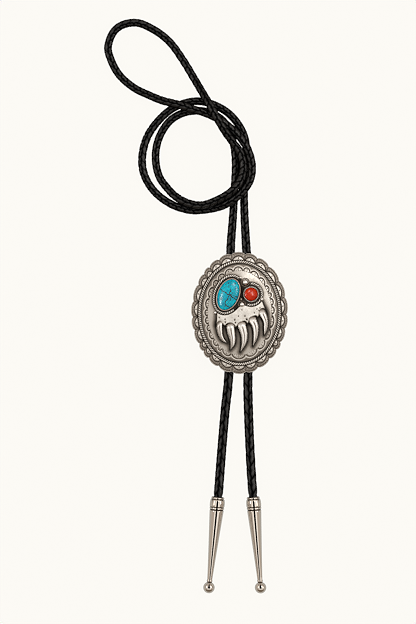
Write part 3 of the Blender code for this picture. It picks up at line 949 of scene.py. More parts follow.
# Pad of the paw from left to right: pixels on its upper and on its lower edge
PAD_COLUMNS = (
    ((216.6, 313.4), (216.3, 325.2)), ((218.3, 312.6), (218.4, 322.0)), ((221.0, 312.4), (220.8, 321.8)),
    ((224.0, 312.2), (224.4, 325.9)), ((226.6, 311.6), (227.2, 323.8)), ((230.0, 310.6), (230.6, 323.3)),
    ((233.4, 308.8), (233.8, 324.8)), ((235.6, 308.0), (235.8, 327.2)), ((238.0, 306.5), (238.6, 323.6)),
    ((241.6, 306.0), (241.6, 322.0)), ((245.0, 305.0), (245.0, 321.4)), ((247.6, 304.6), (247.6, 323.6)),
    ((250.0, 304.4), (249.6, 318.4)), ((253.0, 304.2), (252.4, 316.8)), ((256.0, 303.2), (255.6, 316.0)),
    ((258.4, 302.0), (258.1, 316.8)), ((260.2, 300.8), (259.8, 310.6)), ((261.8, 300.8), (262.0, 308.8)),
    ((263.2, 304.2), (264.6, 309.4)), ((264.2, 306.8), (266.3, 313.0)),
)

# Dots stamped in the pad, the large ones first
LARGE_DOTS = 7
PAD_DOTS = (
    (224.9, 319.4), (225.1, 322.2), (234.5, 320.0), (235.1, 322.8), (244.6, 316.1), (246.0, 319.2),
    (246.8, 319.8), (254.0, 313.0), (258.6, 310.6), (256.6, 309.2), (259.6, 308.0), (241.6, 310.0),
    (238.2, 316.2), (219.0, 317.6),
)


def pad_outline() -> Array:
    """The pad's outline in plan, once round."""
    upper = [seen(*column[0]) for column in PAD_COLUMNS]
    lower = [seen(*column[1]) for column in PAD_COLUMNS]
    return np.array(upper + lower[::-1])


@dataclass(frozen=True)
class TrimShade:
    """Painted shade, with some tarnish in the hollows, on the dome: round the claws, under the pad, round the cup
    ropes and between the cups, and a painted shadow along the left side of each claw.
    """

    outlines: tuple[Array, ...]
    # Strength of each shade and how far it reaches
    close: Place = (0.77, 1.55 * MM)
    wide: Place = (0.19, 2.0 * MM)
    left_shadow: Place = (0.85, 0.45 * MM)
    left_shadow_shift: float = 0.35 * MM
    rope_shade: float = 0.95
    rope_edge: Place = (0.75 * MM, 1.25 * MM)
    rope_shade_haze: Place = (0.55, 1.3 * MM)
    rope_half: float = 0.8 * MM
    # Middle and spread, across and along, of the dark place between the cups
    between_x: Place = (1.2 * MM, 2.2 * MM)
    between_y: Place = (10.2 * MM, 5.2 * MM)
    between_edge: Place = (0.35, 0.6)

    @classmethod
    def of_slide(cls) -> "TrimShade":
        """Take the outlines of the slide's own claws and pad."""
        return cls((*(claw.outline() for claw in CLAWS), pad_outline()))

    def patina(self, x: Array, y: Array) -> Array:
        """Tarnish on the dome.

        Args:
            x: places across.
            y: places along.

        Returns:
            Painted shade with tarnish, 0 polished and 1 black.
        """
        clear = np.ones(x.shape)
        for outline in self.outlines:
            far = np.maximum(outline_distance(outline, x, y), 0.0)
            clear *= 1.0 - self.close[0] * bell(far, 0.0, self.close[1]) - self.wide[0] * np.exp(-far / self.wide[1])
        # Painted shadow along the left side of each claw but the first.
        for outline in self.outlines[1:len(CLAWS)]:
            left_side = outline_distance(outline - np.array([self.left_shadow_shift, 0.0]), x, y)
            fade = np.clip(1.0 - np.maximum(left_side, 0.0) / self.left_shadow[1], 0.0, 1.0)
            clear *= 1.0 - self.left_shadow[0] * fade
        shade = 1.0 - clear
        # Painted shade round the cup ropes: dark just outside each rope, then a soft fading shade.
        for rope in (TURQUOISE_OVAL.wider(TURQUOISE_ROPE), CORAL_OVAL.wider(CORAL_ROPE)):
            far = rope.outside(x, y)
            shade = np.maximum(shade, self.rope_shade * (1.0 - ramp(*self.rope_edge, far)))
            haze = np.exp(-np.maximum(far - self.rope_half, 0.0) / self.rope_shade_haze[1])
            shade = np.maximum(shade, self.rope_shade_haze[0] * haze)
        between = bell(x, *self.between_x) * bell(y, *self.between_y)
        return np.clip(np.maximum(shade, ramp(*self.between_edge, between)), 0.0, 1.0)


@dataclass(frozen=True)
class Scallops:
    """A ring of stamped scallops, given by the turns of the cusps between them."""

    cusps: tuple[float, ...]

    def read(self, turn: Array) -> tuple[Array, Array]:
        """Find the lobe at each turn.

        Args:
            turn: turns clockwise from the top.

        Returns:
            Place across the lobe from -1 to 1, and the lobe's width in turns.
        """
        marks = np.array(self.cusps)
        marks = np.concatenate([[marks[-1] - 1.0], marks, [marks[0] + 1.0]])
        index = np.clip(np.searchsorted(marks, turn, side="right") - 1, 0, len(marks) - 2)
        width = marks[index + 1] - marks[index]
        return 2.0 * (turn - marks[index]) / width - 1.0, width


@dataclass(frozen=True)
class BorderStamp:
    """Sizes and tarnish of the marks stamped in each scallop of the border."""

    lobe_fill: float = 0.93
    moon_base: float = 0.16
    moon_wide: float = 0.86
    moon_tall: float = 0.40
    moon_foot: float = 0.3 * MM
    moon_edge: Place = (0.88, 0.99)
    moon_rise: float = 0.42 * MM
    arch_at: float = 1.12
    arch_width: float = 0.20 * MM
    arch_depth: float = 0.18 * MM
    rim_edge: Place = (0.26 * MM, 0.44 * MM)
    rim_rise: float = 0.12 * MM
    rim_start: float = 0.3
    line_at: float = 0.60 * MM
    line_width: float = 0.17 * MM
    line_depth: float = 0.10 * MM
    seam_width: float = 0.19 * MM
    seam_depth: float = 0.16 * MM
    rays: float = 26.0
    ray_centre: float = 0.22
    ray_rise: float = 0.03 * MM
    dot_at: float = 0.52
    dot_width: float = 0.30 * MM
    dot_depth: float = 0.26 * MM
    # Painted shade along the foot of each moon, next to the rope ring
    moon_foot_shade_at: float = 0.04 * MM
    moon_foot_shade_width: float = 0.30 * MM
    ground_shade: float = 0.56
    ray_shade: float = 0.07
    line_shade: float = 0.74
    seam_shade: float = 0.86
    arch_shade: float = 0.94
    moon_shade: float = 0.12
    rim_shade: float = 0.22


@dataclass(frozen=True)
class DomeStamp:
    """Sizes and tarnish of the marks stamped in each small scallop of the dome."""

    lobe_fill: float = 0.73
    lobe_tall: float = 0.080
    base: float = 0.655
    base_swell: float = 0.035
    arch_wide: float = 1.12
    above: Place = (-0.1 * MM, 0.15 * MM)
    faint_at: float = 0.475
    faint_reach: float = 0.15
    faintness: float = 0.25
    arc_width: float = 0.27 * MM
    bright_at: float = 0.03 * MM
    bright_rise: float = 0.12 * MM
    dark_at: float = -0.54 * MM
    dark_depth: float = 0.18 * MM
    fill_edge: Place = (-0.95 * MM, -0.78 * MM)
    fill_share: float = 0.8
    fill_rise: float = 0.16 * MM
    bead_pitch: float = 1.15 * MM
    row_at: float = 0.12 * MM
    row_width: float = 0.26 * MM
    row_end: Place = (0.6, 0.8)
    row_depth: float = 0.12 * MM
    dot_at: float = 0.40
    dot_wide: float = 0.30 * MM
    dot_tall: float = 0.28 * MM
    dot_depth: float = 0.14 * MM
    ring_edge: Place = (0.28 * MM, 0.5 * MM)
    # Dark band along the inner side of the rope ring: tarnish in the crease, with painted shade from the rope
    rope_shade_at: float = -1.05 * MM
    rope_width: float = 0.40 * MM
    ground_shade: float = 0.10
    ring_shade: float = 0.60
    row_shade: float = 0.85


@dataclass(frozen=True)
class ConchoPlate:
    """The scalloped plate: a stamped border outside the rope ring and a stamped dome inside it."""

    dish: Dish
    scallop_depth: float = 0.0012
    scallop_bow: float = 0.6
    lobe_crown: float = 0.0004
    under_rope: float = 0.012
    back_edge: float = 0.93
    back_shade: float = 0.5
    dome_overlap: float = 0.004
    dome_sink: float = 0.00002
    border_stations: int = 1100
    dome_stations: int = 840
    border_stamp: BorderStamp = BorderStamp()
    dome_stamp: DomeStamp = DomeStamp()
    border_scallops: Scallops = Scallops((
        0.019, 0.062, 0.107, 0.159, 0.207, 0.254, 0.293, 0.332, 0.356, 0.390, 0.436, 0.478, 0.526,
        0.573, 0.613, 0.639, 0.663, 0.703, 0.739, 0.782, 0.830, 0.864, 0.890, 0.928, 0.972,
    ))
    dome_scallops: Scallops = Scallops((
        0.016, 0.051, 0.096, 0.137, 0.169, 0.191, 0.223, 0.257, 0.312, 0.362, 0.411, 0.471, 0.539,
        0.586, 0.610, 0.642, 0.677, 0.704, 0.736, 0.765, 0.809, 0.857, 0.889, 0.927, 0.970,
    ))

    def _radial(self, turn: Array) -> Array:
        """Metres to a whole share along the ray at a turn."""
        angle = TURN * turn
        return np.hypot(self.dish.semi_x * np.sin(angle), self.dish.semi_y * np.cos(angle))

    def _around(self, turn: Array) -> Array:
        """Metres to a radian round the rim's ellipse at a turn."""
        angle = TURN * turn
        return np.hypot(self.dish.semi_x * np.cos(angle), self.dish.semi_y * np.sin(angle))

    def _border_relief(self, turn: Array, out: Array) -> tuple[Array, Array]:
        """Stamped relief of the border.

        Args:
            turn: turns clockwise from the top.
            out: 0 on the rope ring's line and 1 on the scalloped edge.

        Returns:
            Height in metres, and tarnish with a painted shade along the foot of each moon.
        """
        mark = self.border_stamp
        across, width = self.border_scallops.read(turn)
        half = math.pi * width * self._around(turn) * mark.lobe_fill
        tall = (1.0 - self.dish.flange) * self._radial(turn)
        side, up = across * half, (out - mark.moon_base) * tall
        moon_wide, moon_tall = mark.moon_wide * half, mark.moon_tall * tall
        moon = np.sqrt((side / moon_wide) ** 2 + (np.maximum(up, 0.0) / moon_tall) ** 2)
        moon = np.where(up < 0.0, np.maximum(moon, 1.0 - up / mark.moon_foot), moon)
        in_moon = 1.0 - ramp(*mark.moon_edge, moon)
        arch = bell((moon - mark.arch_at) * moon_tall, 0.0, mark.arch_width)
        edge = (1.0 - out) * tall
        rim = 1.0 - ramp(*mark.rim_edge, edge)
        inner_line = bell(edge, mark.line_at, mark.line_width)
        seam = bell(half * (1.0 - np.abs(across)), 0.0, mark.seam_width)
        lines = np.cos(mark.rays * np.arctan2(side, up + mark.ray_centre * tall))
        dot = bell(side, 0.0, mark.dot_width) * bell(up, mark.dot_at * moon_tall, mark.dot_width)
        patina = mark.ground_shade + mark.ray_shade * lines
        for shade, where in (
            (mark.line_shade, inner_line * (1.0 - in_moon)), (mark.seam_shade, seam * (1.0 - rim)),
            (mark.arch_shade, arch), (mark.moon_shade, in_moon),
            (mark.rim_shade, rim * (1.0 - in_moon) * ramp(0.0, mark.rim_start, out)),
            # The last mark here is painted shade along the foot of each moon, next to the rope ring.
            (1.0, dot), (1.0, bell(up, mark.moon_foot_shade_at, mark.moon_foot_shade_width)),
        ):
            patina = blend(patina, shade, where)
        height = blend(mark.ray_rise * lines * (1.0 - in_moon), 0.0, rim)
        height += mark.moon_rise * np.sqrt(np.clip(1.0 - moon**2, 0.0, 1.0)) * in_moon
        height += (
            mark.rim_rise * rim - mark.arch_depth * arch - mark.line_depth * inner_line - mark.dot_depth * dot
        )
        height -= mark.seam_depth * seam
        crown = self.lobe_crown * (1.0 - across**2) * 4.0 * out * (1.0 - out)
        return height + crown, patina

    def _dome_relief(self, turn: Array, share: Array) -> tuple[Array, Array]:
        """Stamped relief of the dome's border of scallops.

        Args:
            turn: turns clockwise from the top.
            share: 0 in the middle of the slide and 1 at its rim.

        Returns:
            Height in metres, and tarnish with painted shade along the inner side of the rope ring.
        """
        mark = self.dome_stamp
        across, width = self.dome_scallops.read(turn)
        half = math.pi * width * self._around(turn) * mark.lobe_fill
        tall = mark.lobe_tall * self._radial(turn)
        base = mark.base + mark.base_swell * np.cos(TURN * turn) ** 2
        side, up = across * half, (share - base) * self._radial(turn)
        arch = np.sqrt((side / (mark.arch_wide * half)) ** 2 + (np.maximum(up, 0.0) / tall) ** 2)
        above = ramp(*mark.above, up)
        depth = 1.0 - mark.faintness * bell(turn, mark.faint_at, mark.faint_reach)
        reach = (arch - 1.0) * tall
        bright_arc = bell(reach, mark.bright_at, mark.arc_width) * above
        dark_arc = bell(reach, mark.dark_at, mark.arc_width) * above * depth
        fill = (1.0 - ramp(*mark.fill_edge, reach)) * above
        beads = 0.5 + 0.5 * np.cos(TURN * side / mark.bead_pitch)
        row = bell(up, mark.row_at, mark.row_width) * beads * (1.0 - ramp(*mark.row_end, np.abs(across))) * depth
        dot = bell(side, 0.0, mark.dot_wide) * bell(up, mark.dot_at * tall, mark.dot_tall) * depth
        beside_rope = (share - self.dish.flange) * self._radial(turn)
        patina = np.full(share.shape, mark.ground_shade)
        for shade, where in (
            (mark.ring_shade, ramp(*mark.ring_edge, reach) * above), (0.0, bright_arc), (1.0, dark_arc),
            (0.0, fill), (mark.row_shade, row), (1.0, dot),
            # This mark is a dark band along the inner side of the rope ring: tarnish in the crease, with painted
            # shade from the rope.
            (1.0, bell(beside_rope, mark.rope_shade_at, mark.rope_width)),
        ):
            patina = blend(patina, shade, where)
        height = (
            mark.bright_rise * bright_arc - mark.dark_depth * dark_arc - mark.row_depth * row
            - mark.dot_depth * dot
        )
        height += mark.fill_rise * np.sqrt(np.clip(1.0 - (arch / mark.fill_share) ** 2, 0.0, 1.0)) * fill
        return height * depth, patina

    def build_border(self, silver: bpy.types.Material) -> bpy.types.Object:
        """Make the border outside the rope ring, a closed ring with a rounded edge.

        Args:
            silver: its material.

        Returns:
            The border.
        """
        turn = turns(self.border_stations)
        across, _ = self.border_scallops.read(turn)
        bow, cusp = self.scallop_bow * across**2, (1.0 - self.scallop_bow) * np.abs(across) ** 7
        edge = 1.0 - self.scallop_depth / self.dish.semi_y * (bow + cusp)
        start = self.dish.flange - self.under_rope
        rows = np.concatenate([np.linspace(0.0, 0.1, 3), np.linspace(0.12, 0.985, 52)])
        places, shades = [], []
        for out in rows:
            share = start + (edge - start) * out
            x, y = self.dish.place(turn, share)
            reach = (share - self.dish.flange) / (edge - self.dish.flange)
            height, patina = self._border_relief(turn, np.clip(reach, 0.0, 1.0))
            places.append(np.stack([x, y, self.dish.level(x, y) + height], -1))
            shades.append(patina)
        # The rounded edge: how far in, as a share, and how far down, in millimetres
        for back, drop in ((0.0028, 0.04), (0.0, 0.30), (0.0, 0.90), (0.004, 1.15)):
            x, y = self.dish.place(turn, edge - back)
            low = self.dish.level(x, y) + self.border_stamp.rim_rise - drop * MM
            places.append(np.stack([x, y, low], -1))
            shades.append(np.full(len(turn), 0.15 + 0.30 * drop))
        for share in (self.back_edge, start):
            x, y = self.dish.place(turn, np.full(len(turn), share))
            places.append(np.stack([x, y, self.dish.level(x, y) - self.dish.wall], -1))
            shades.append(np.full(len(turn), 0.45))
        body = MeshPiece("concho_border")
        body.add(np.concatenate(places), wrapped(len(places), len(turn)), np.concatenate(shades))
        return body.finish(silver)

    def build_dome(self, silver: bpy.types.Material, shade: TrimShade) -> bpy.types.Object:
        """Make the dome inside the rope ring, a closed shell that is open to the back.

        Args:
            silver: its material.
            shade: painted shade, with some tarnish in the hollows, round the trim.

        Returns:
            The dome.
        """
        turn = turns(self.dome_stations)
        end = self.dish.flange + self.dome_overlap
        shares = np.concatenate([
            np.linspace(0.02, 0.632, 50), np.linspace(0.640, 0.785, 38), np.linspace(0.793, end, 8),
        ])
        places, shades = [], []
        for share in shares:
            x, y = self.dish.place(turn, np.full(len(turn), share))
            height, patina = self._dome_relief(turn, np.full(len(turn), share))
            # Painted shade: the dome darker towards its bottom and towards its lower left.
            painted_low_side_shade = ramp(0.004, -0.022, y) * 0.10 + ramp(0.0, -0.016, x) * ramp(-0.016, 0.0, y) * 0.18
            patina = 1.0 - (1.0 - patina) * (1.0 - painted_low_side_shade) * (1.0 - shade.patina(x, y))
            sink = 0.0 if share < self.dish.flange else self.dome_sink
            places.append(np.stack([x, y, self.dish.level(x, y) - sink + height], -1))
            shades.append(patina)
        for share in (end, 0.5, 0.06):
            x, y = self.dish.place(turn, np.full(len(turn), share))
            places.append(np.stack([x, y, self.dish.level(x, y) - self.dish.wall], -1))
            shades.append(np.full(len(turn), self.back_shade))
        top = float(self.dish.level(np.array(0.0), np.array(0.0)))
        caps = np.array([[0.0, 0.0, top], [0.0, 0.0, top - self.dish.wall]])
        shades.append([0.9, self.back_shade])
        body = MeshPiece("concho_dome")
        body.add(np.concatenate([*places, caps]), tube(len(places), len(turn)), np.concatenate(shades))
        return body.finish(silver)


@dataclass(frozen=True)
class TwistedWire:
    """Two wires twisted together and laid on the dish along an ellipse."""

    name: str
    line: Oval
    wire: float
    lay: float
    start: float = 0.0
    end: float = 1.0
    flatness: float = 0.62
    lift: float = 0.25
    strand_at: float = 0.23
    strand_radius: float = 0.31
    crevice: Place = (0.35, 0.46)
    underside_shade: Place = (0.01, 0.16)
    end_shade: float = 0.3
    look_ahead: float = 0.0005
    sides: int = 9
    rings_per_lay: int = 16

    def build(self, dish: Dish, silver: bpy.types.Material) -> bpy.types.Object:
        """Make the two strands.

        Args:
            dish: the plate that the wire lies on.
            silver: its material.

        Returns:
            The rope.
        """
        closed = self.end - self.start >= 1.0
        fine = np.linspace(self.start, self.end, 4000)
        fx, fy = self.line.place(fine)
        marks = lengths_along(np.stack([fx, fy], -1))
        lays = max(1, round(marks[-1] / self.lay))
        count = lays * self.rings_per_lay
        along = np.arange(count if closed else count + 1) / count
        turn = np.interp(along * marks[-1], marks, fine)
        x, y = self.line.place(turn)
        ahead_x, ahead_y = self.line.place(turn + self.look_ahead)
        way = np.stack([ahead_x - x, ahead_y - y, dish.level(ahead_x, ahead_y) - dish.level(x, y)], -1)
        way /= np.linalg.norm(way, axis=1)[:, None]
        side, over = cross_axes(way)
        middle = np.stack([x, y, dish.level(x, y) + self.wire * self.lift], -1)
        body = MeshPiece(self.name)
        for strand in range(2):
            twist = TURN * lays * along + math.pi * strand
            outward = side * np.cos(twist)[:, None] + over * np.sin(twist)[:, None]
            centre = middle + outward * self.wire * self.strand_at
            binormal = np.cross(outward, way)
            rings = []
            for number in range(self.sides):
                angle = TURN * number / self.sides
                offset = outward * math.cos(angle) + binormal * math.sin(angle)
                rings.append(centre + offset * self.wire * self.strand_radius)
            places = np.stack(rings, 1)
            far = np.linalg.norm(places - middle[:, None, :], axis=2)
            places[..., 2] = blend(middle[:, None, 2], places[..., 2], self.flatness)
            patina = 1.0 - ramp(self.crevice[0] * self.wire, self.crevice[1] * self.wire, far)
            # Painted shade: the strands darken below the rope's middle.
            low = (middle[:, None, 2] - places[:, :, 2]) / self.wire
            patina = np.maximum(patina, ramp(*self.underside_shade, low))
            self._add_strand(body, places, patina.reshape(-1), closed)
        return body.finish(silver)

    def _add_strand(self, body: MeshPiece, places: Array, patina: Array, closed: bool) -> None:
        """Add one strand, with round ends where the rope is open.

        Args:
            body: the piece that gathers the strands.
            places: ring vertices, ring by ring.
            patina: tarnish of each vertex, with painted shade on the strands' lower sides.
            closed: whether the last ring joins the first.
        """
        flat = places.reshape(-1, 3)
        if closed:
            body.add(flat, wrapped(len(places), self.sides), patina)
            return
        ends = np.stack([places[0].mean(0), places[-1].mean(0)])
        shades = np.concatenate([patina, [self.end_shade, self.end_shade]])
        body.add(np.concatenate([flat, ends]), tube(len(places), self.sides), shades)


@dataclass(frozen=True)
class Bezel:
    """The thin silver wall that holds a stone."""

    name: str
    girdle: Oval
    wall: float
    rise: float
    edge: BezelEdge
    dullness: float = 0.0
    teeth: int = 34
    tooth_bite: float = 0.30
    tooth_drop: float = 0.22 * MM
    tooth_shade: float = 0.6
    outer_from: float = 0.1 * MM
    sink: float = 0.4 * MM
    stations: int = 272

    def build(self, dish: Dish, silver: bpy.types.Material) -> bpy.types.Object:
        """Make the bezel as a ring with a rounded lip.

        Args:
            dish: the plate that it stands on.
            silver: its material.

        Returns:
            The bezel.
        """
        turn = turns(self.stations)
        notch = np.zeros(len(turn))
        if self.edge is BezelEdge.SERRATED:
            notch = 0.5 - 0.5 * np.cos(TURN * self.teeth * turn)
        # How far outside the girdle, share of the rise, or none for the foot, and tarnish
        rows = (
            (self.wall, None, 0.85), (self.wall, 0.35, 0.7), (self.wall, 0.72, 0.35),
            (self.wall * 0.86, 0.93, 0.10), (self.wall * 0.58, 1.0, 0.02), (self.wall * 0.26, 0.96, 0.12),
            (0.03 * MM, 0.84, 0.55), (-0.02 * MM, 0.66, 0.9), (-0.02 * MM, None, 0.9),
        )
        places, shades = [], []
        for extra, height, patina in rows:
            bite = notch * (self.tooth_bite if extra > self.outer_from else 0.0) * self.wall
            oval_x, oval_y = self.girdle.wider(extra).place(turn)
            inner_x, inner_y = self.girdle.wider(extra - MM).place(turn)
            x = oval_x + (inner_x - oval_x) * bite / MM
            y = oval_y + (inner_y - oval_y) * bite / MM
            if height is None:
                z = dish.level(x, y) - self.sink
            else:
                z = dish.tangent_level(self.girdle.centre, x, y) + height * self.rise
                z = z - notch * (self.tooth_drop if height > 0.5 else 0.0)
            places.append(np.stack([x, y, z], -1))
            shades.append(np.clip(np.maximum(patina, self.dullness) + notch * self.tooth_shade, 0.0, 1.0))
        body = MeshPiece(self.name)
        body.add(np.concatenate(places), wrapped(len(places), self.stations), np.concatenate(shades))
        return body.finish(silver)


@dataclass(frozen=True)
class Cabochon:
    """A stone with an upright girdle and a smooth domed top."""

    name: str
    girdle: Oval
    crown: float
    slot: Slot
    veins: tuple[tuple[Place, ...], ...] = ()
    vein_widths: tuple[float, ...] = ()
    specks: tuple[tuple[float, float, float], ...] = ()
    vein_swing: float = 0.10 * MM
    floor_gap: float = 0.0005
    girdle_height: float = 0.0011
    stations: int = 220
    rows: int = 64

    def _matrix(self, x: Array, y: Array) -> Array:
        """Dark matrix of the stone, from its veins and specks.

        Args:
            x: places across.
            y: places along.

        Returns:
            0 for clear stone and 1 in the middle of a vein.
        """
        dark = np.zeros(x.shape)
        swing = self.vein_swing
        x, y = (
            x + swing * (np.sin(y / (0.30 * MM)) + np.sin(y / (0.11 * MM) + 2.0) * 0.6),
            y + swing * (np.sin(x / (0.34 * MM) + 1.0) + np.sin(x / (0.13 * MM)) * 0.6),
        )
        thick = 1.0 + 0.35 * np.sin(x / (0.27 * MM)) * np.sin(y / (0.36 * MM) + 0.7)
        for line, width in zip(self.veins, self.vein_widths):
            points = np.array([seen(*place) for place in line])
            for start, end in zip(points[:-1], points[1:]):
                far = span_distance(start, end, x, y)
                dark = np.maximum(dark, bell(far, 0.0, width * thick * PIXEL))
        for pixel_x, pixel_y, size in self.specks:
            spot_x, spot_y = seen(pixel_x, pixel_y)
            far = np.hypot(x - spot_x, y - spot_y)
            dark = np.maximum(dark, bell(far, 0.0, size * PIXEL))
        return dark

    def build(self, dish: Dish, stone: bpy.types.Material) -> bpy.types.Object:
        """Make the stone.

        Args:
            dish: the plate that carries it.
            stone: its material.

        Returns:
            The stone.
        """
        turn = turns(self.stations)
        lean = np.linspace(0.0, math.pi / 2, self.rows + 1)[:-1]
        profile = [(1.0, 0.0), (1.0, self.girdle_height)]
        profile += [
            (math.cos(angle), self.girdle_height + (self.crown - self.girdle_height) * math.sin(angle) ** 0.9)
            for angle in lean[1:]
        ]
        places, shades = [], []
        for share, height in profile:
            x, y = self.girdle.place(turn, share)
            z = dish.tangent_level(self.girdle.centre, x, y) + self.floor_gap + height
            places.append(np.stack([x, y, z], -1))
            shades.append(self._matrix(x, y) if height > 0.0 else np.zeros(len(turn)))
        centre = np.array(self.girdle.centre)
        base = float(dish.tangent_level(self.girdle.centre, centre[0], centre[1])) + self.floor_gap
        ends = np.array([[*centre, base], [*centre, base + self.crown]])
        shades += [[0.0], self._matrix(centre[:1], centre[1:])]
        body = MeshPiece(self.name)
        body.add(np.concatenate([*places, ends]), tube(len(profile), self.stations), np.concatenate(shades))
        return body.finish(stone)


@dataclass(frozen=True)
class Shot:
    """One small silver ball, with a wire collar where it has one."""

    pixel: Place
    radius: float
    collar: bool = False
    dullness: float = 0.0
    lift: float = 0.4
    painted_shade_below: Place = (-0.35, 0.35)
    collar_gap: float = 0.42 * MM
    collar_wide: float = 0.2 * MM
    collar_tall: float = 0.26 * MM
    collar_lift: float = 0.12 * MM

    def add_to(self, body: MeshPiece, dish: Dish) -> None:
        """Add the ball to a piece.

        Args:
            body: the piece that gathers the balls.
            dish: the plate that it sits in.
        """
        x, y = seen(*self.pixel)
        level = float(dish.level(np.array(x), np.array(y)))
        centre = np.array([x, y, level + self.radius * self.lift])
        columns, rows = 40, 26
        turn = TURN * np.arange(columns) / columns
        rings = []
        for rise in np.linspace(-math.pi / 2, math.pi / 2, rows)[1:-1]:
            wide = math.cos(rise)
            rings.append(np.stack([np.cos(turn) * wide, np.sin(turn) * wide, np.full(columns, math.sin(rise))], -1))
        unit = np.concatenate([*rings, [[0.0, 0.0, -1.0], [0.0, 0.0, 1.0]]])
        # Painted shade: the lower half of each ball is darker.
        patina = np.maximum(1.0 - ramp(*self.painted_shade_below, unit[:, 2]), self.dullness)
        body.add(centre + unit * self.radius, tube(len(rings), columns), patina)
        if self.collar:
            self._add_collar(body, dish, (x, y))

    def _add_collar(self, body: MeshPiece, dish: Dish, centre: Place) -> None:
        """Add the wire collar round the ball's foot.

        Args:
            body: the piece that gathers the balls.
            dish: the plate that it lies on.
            centre: the ball's middle in plan.
        """
        columns, sides = 48, 8
        line = Oval(centre, self.radius + self.collar_gap, self.radius + self.collar_gap)
        rings = []
        for number in range(sides):
            angle = TURN * number / sides
            x, y = line.wider(self.collar_wide * math.cos(angle)).place(turns(columns))
            rise = self.collar_lift + self.collar_tall * math.sin(angle)
            rings.append(np.stack([x, y, dish.level(x, y) + rise], -1))
        places = np.stack(rings, 1).reshape(-1, 3)
        # The collar is dark with tarnish, and painted shade makes it darker on its lower side than on its top.
        shade = np.tile(0.80 - 0.15 * np.sin(TURN * np.arange(sides) / sides), columns)
        body.add(places, wrapped(columns, sides), shade)


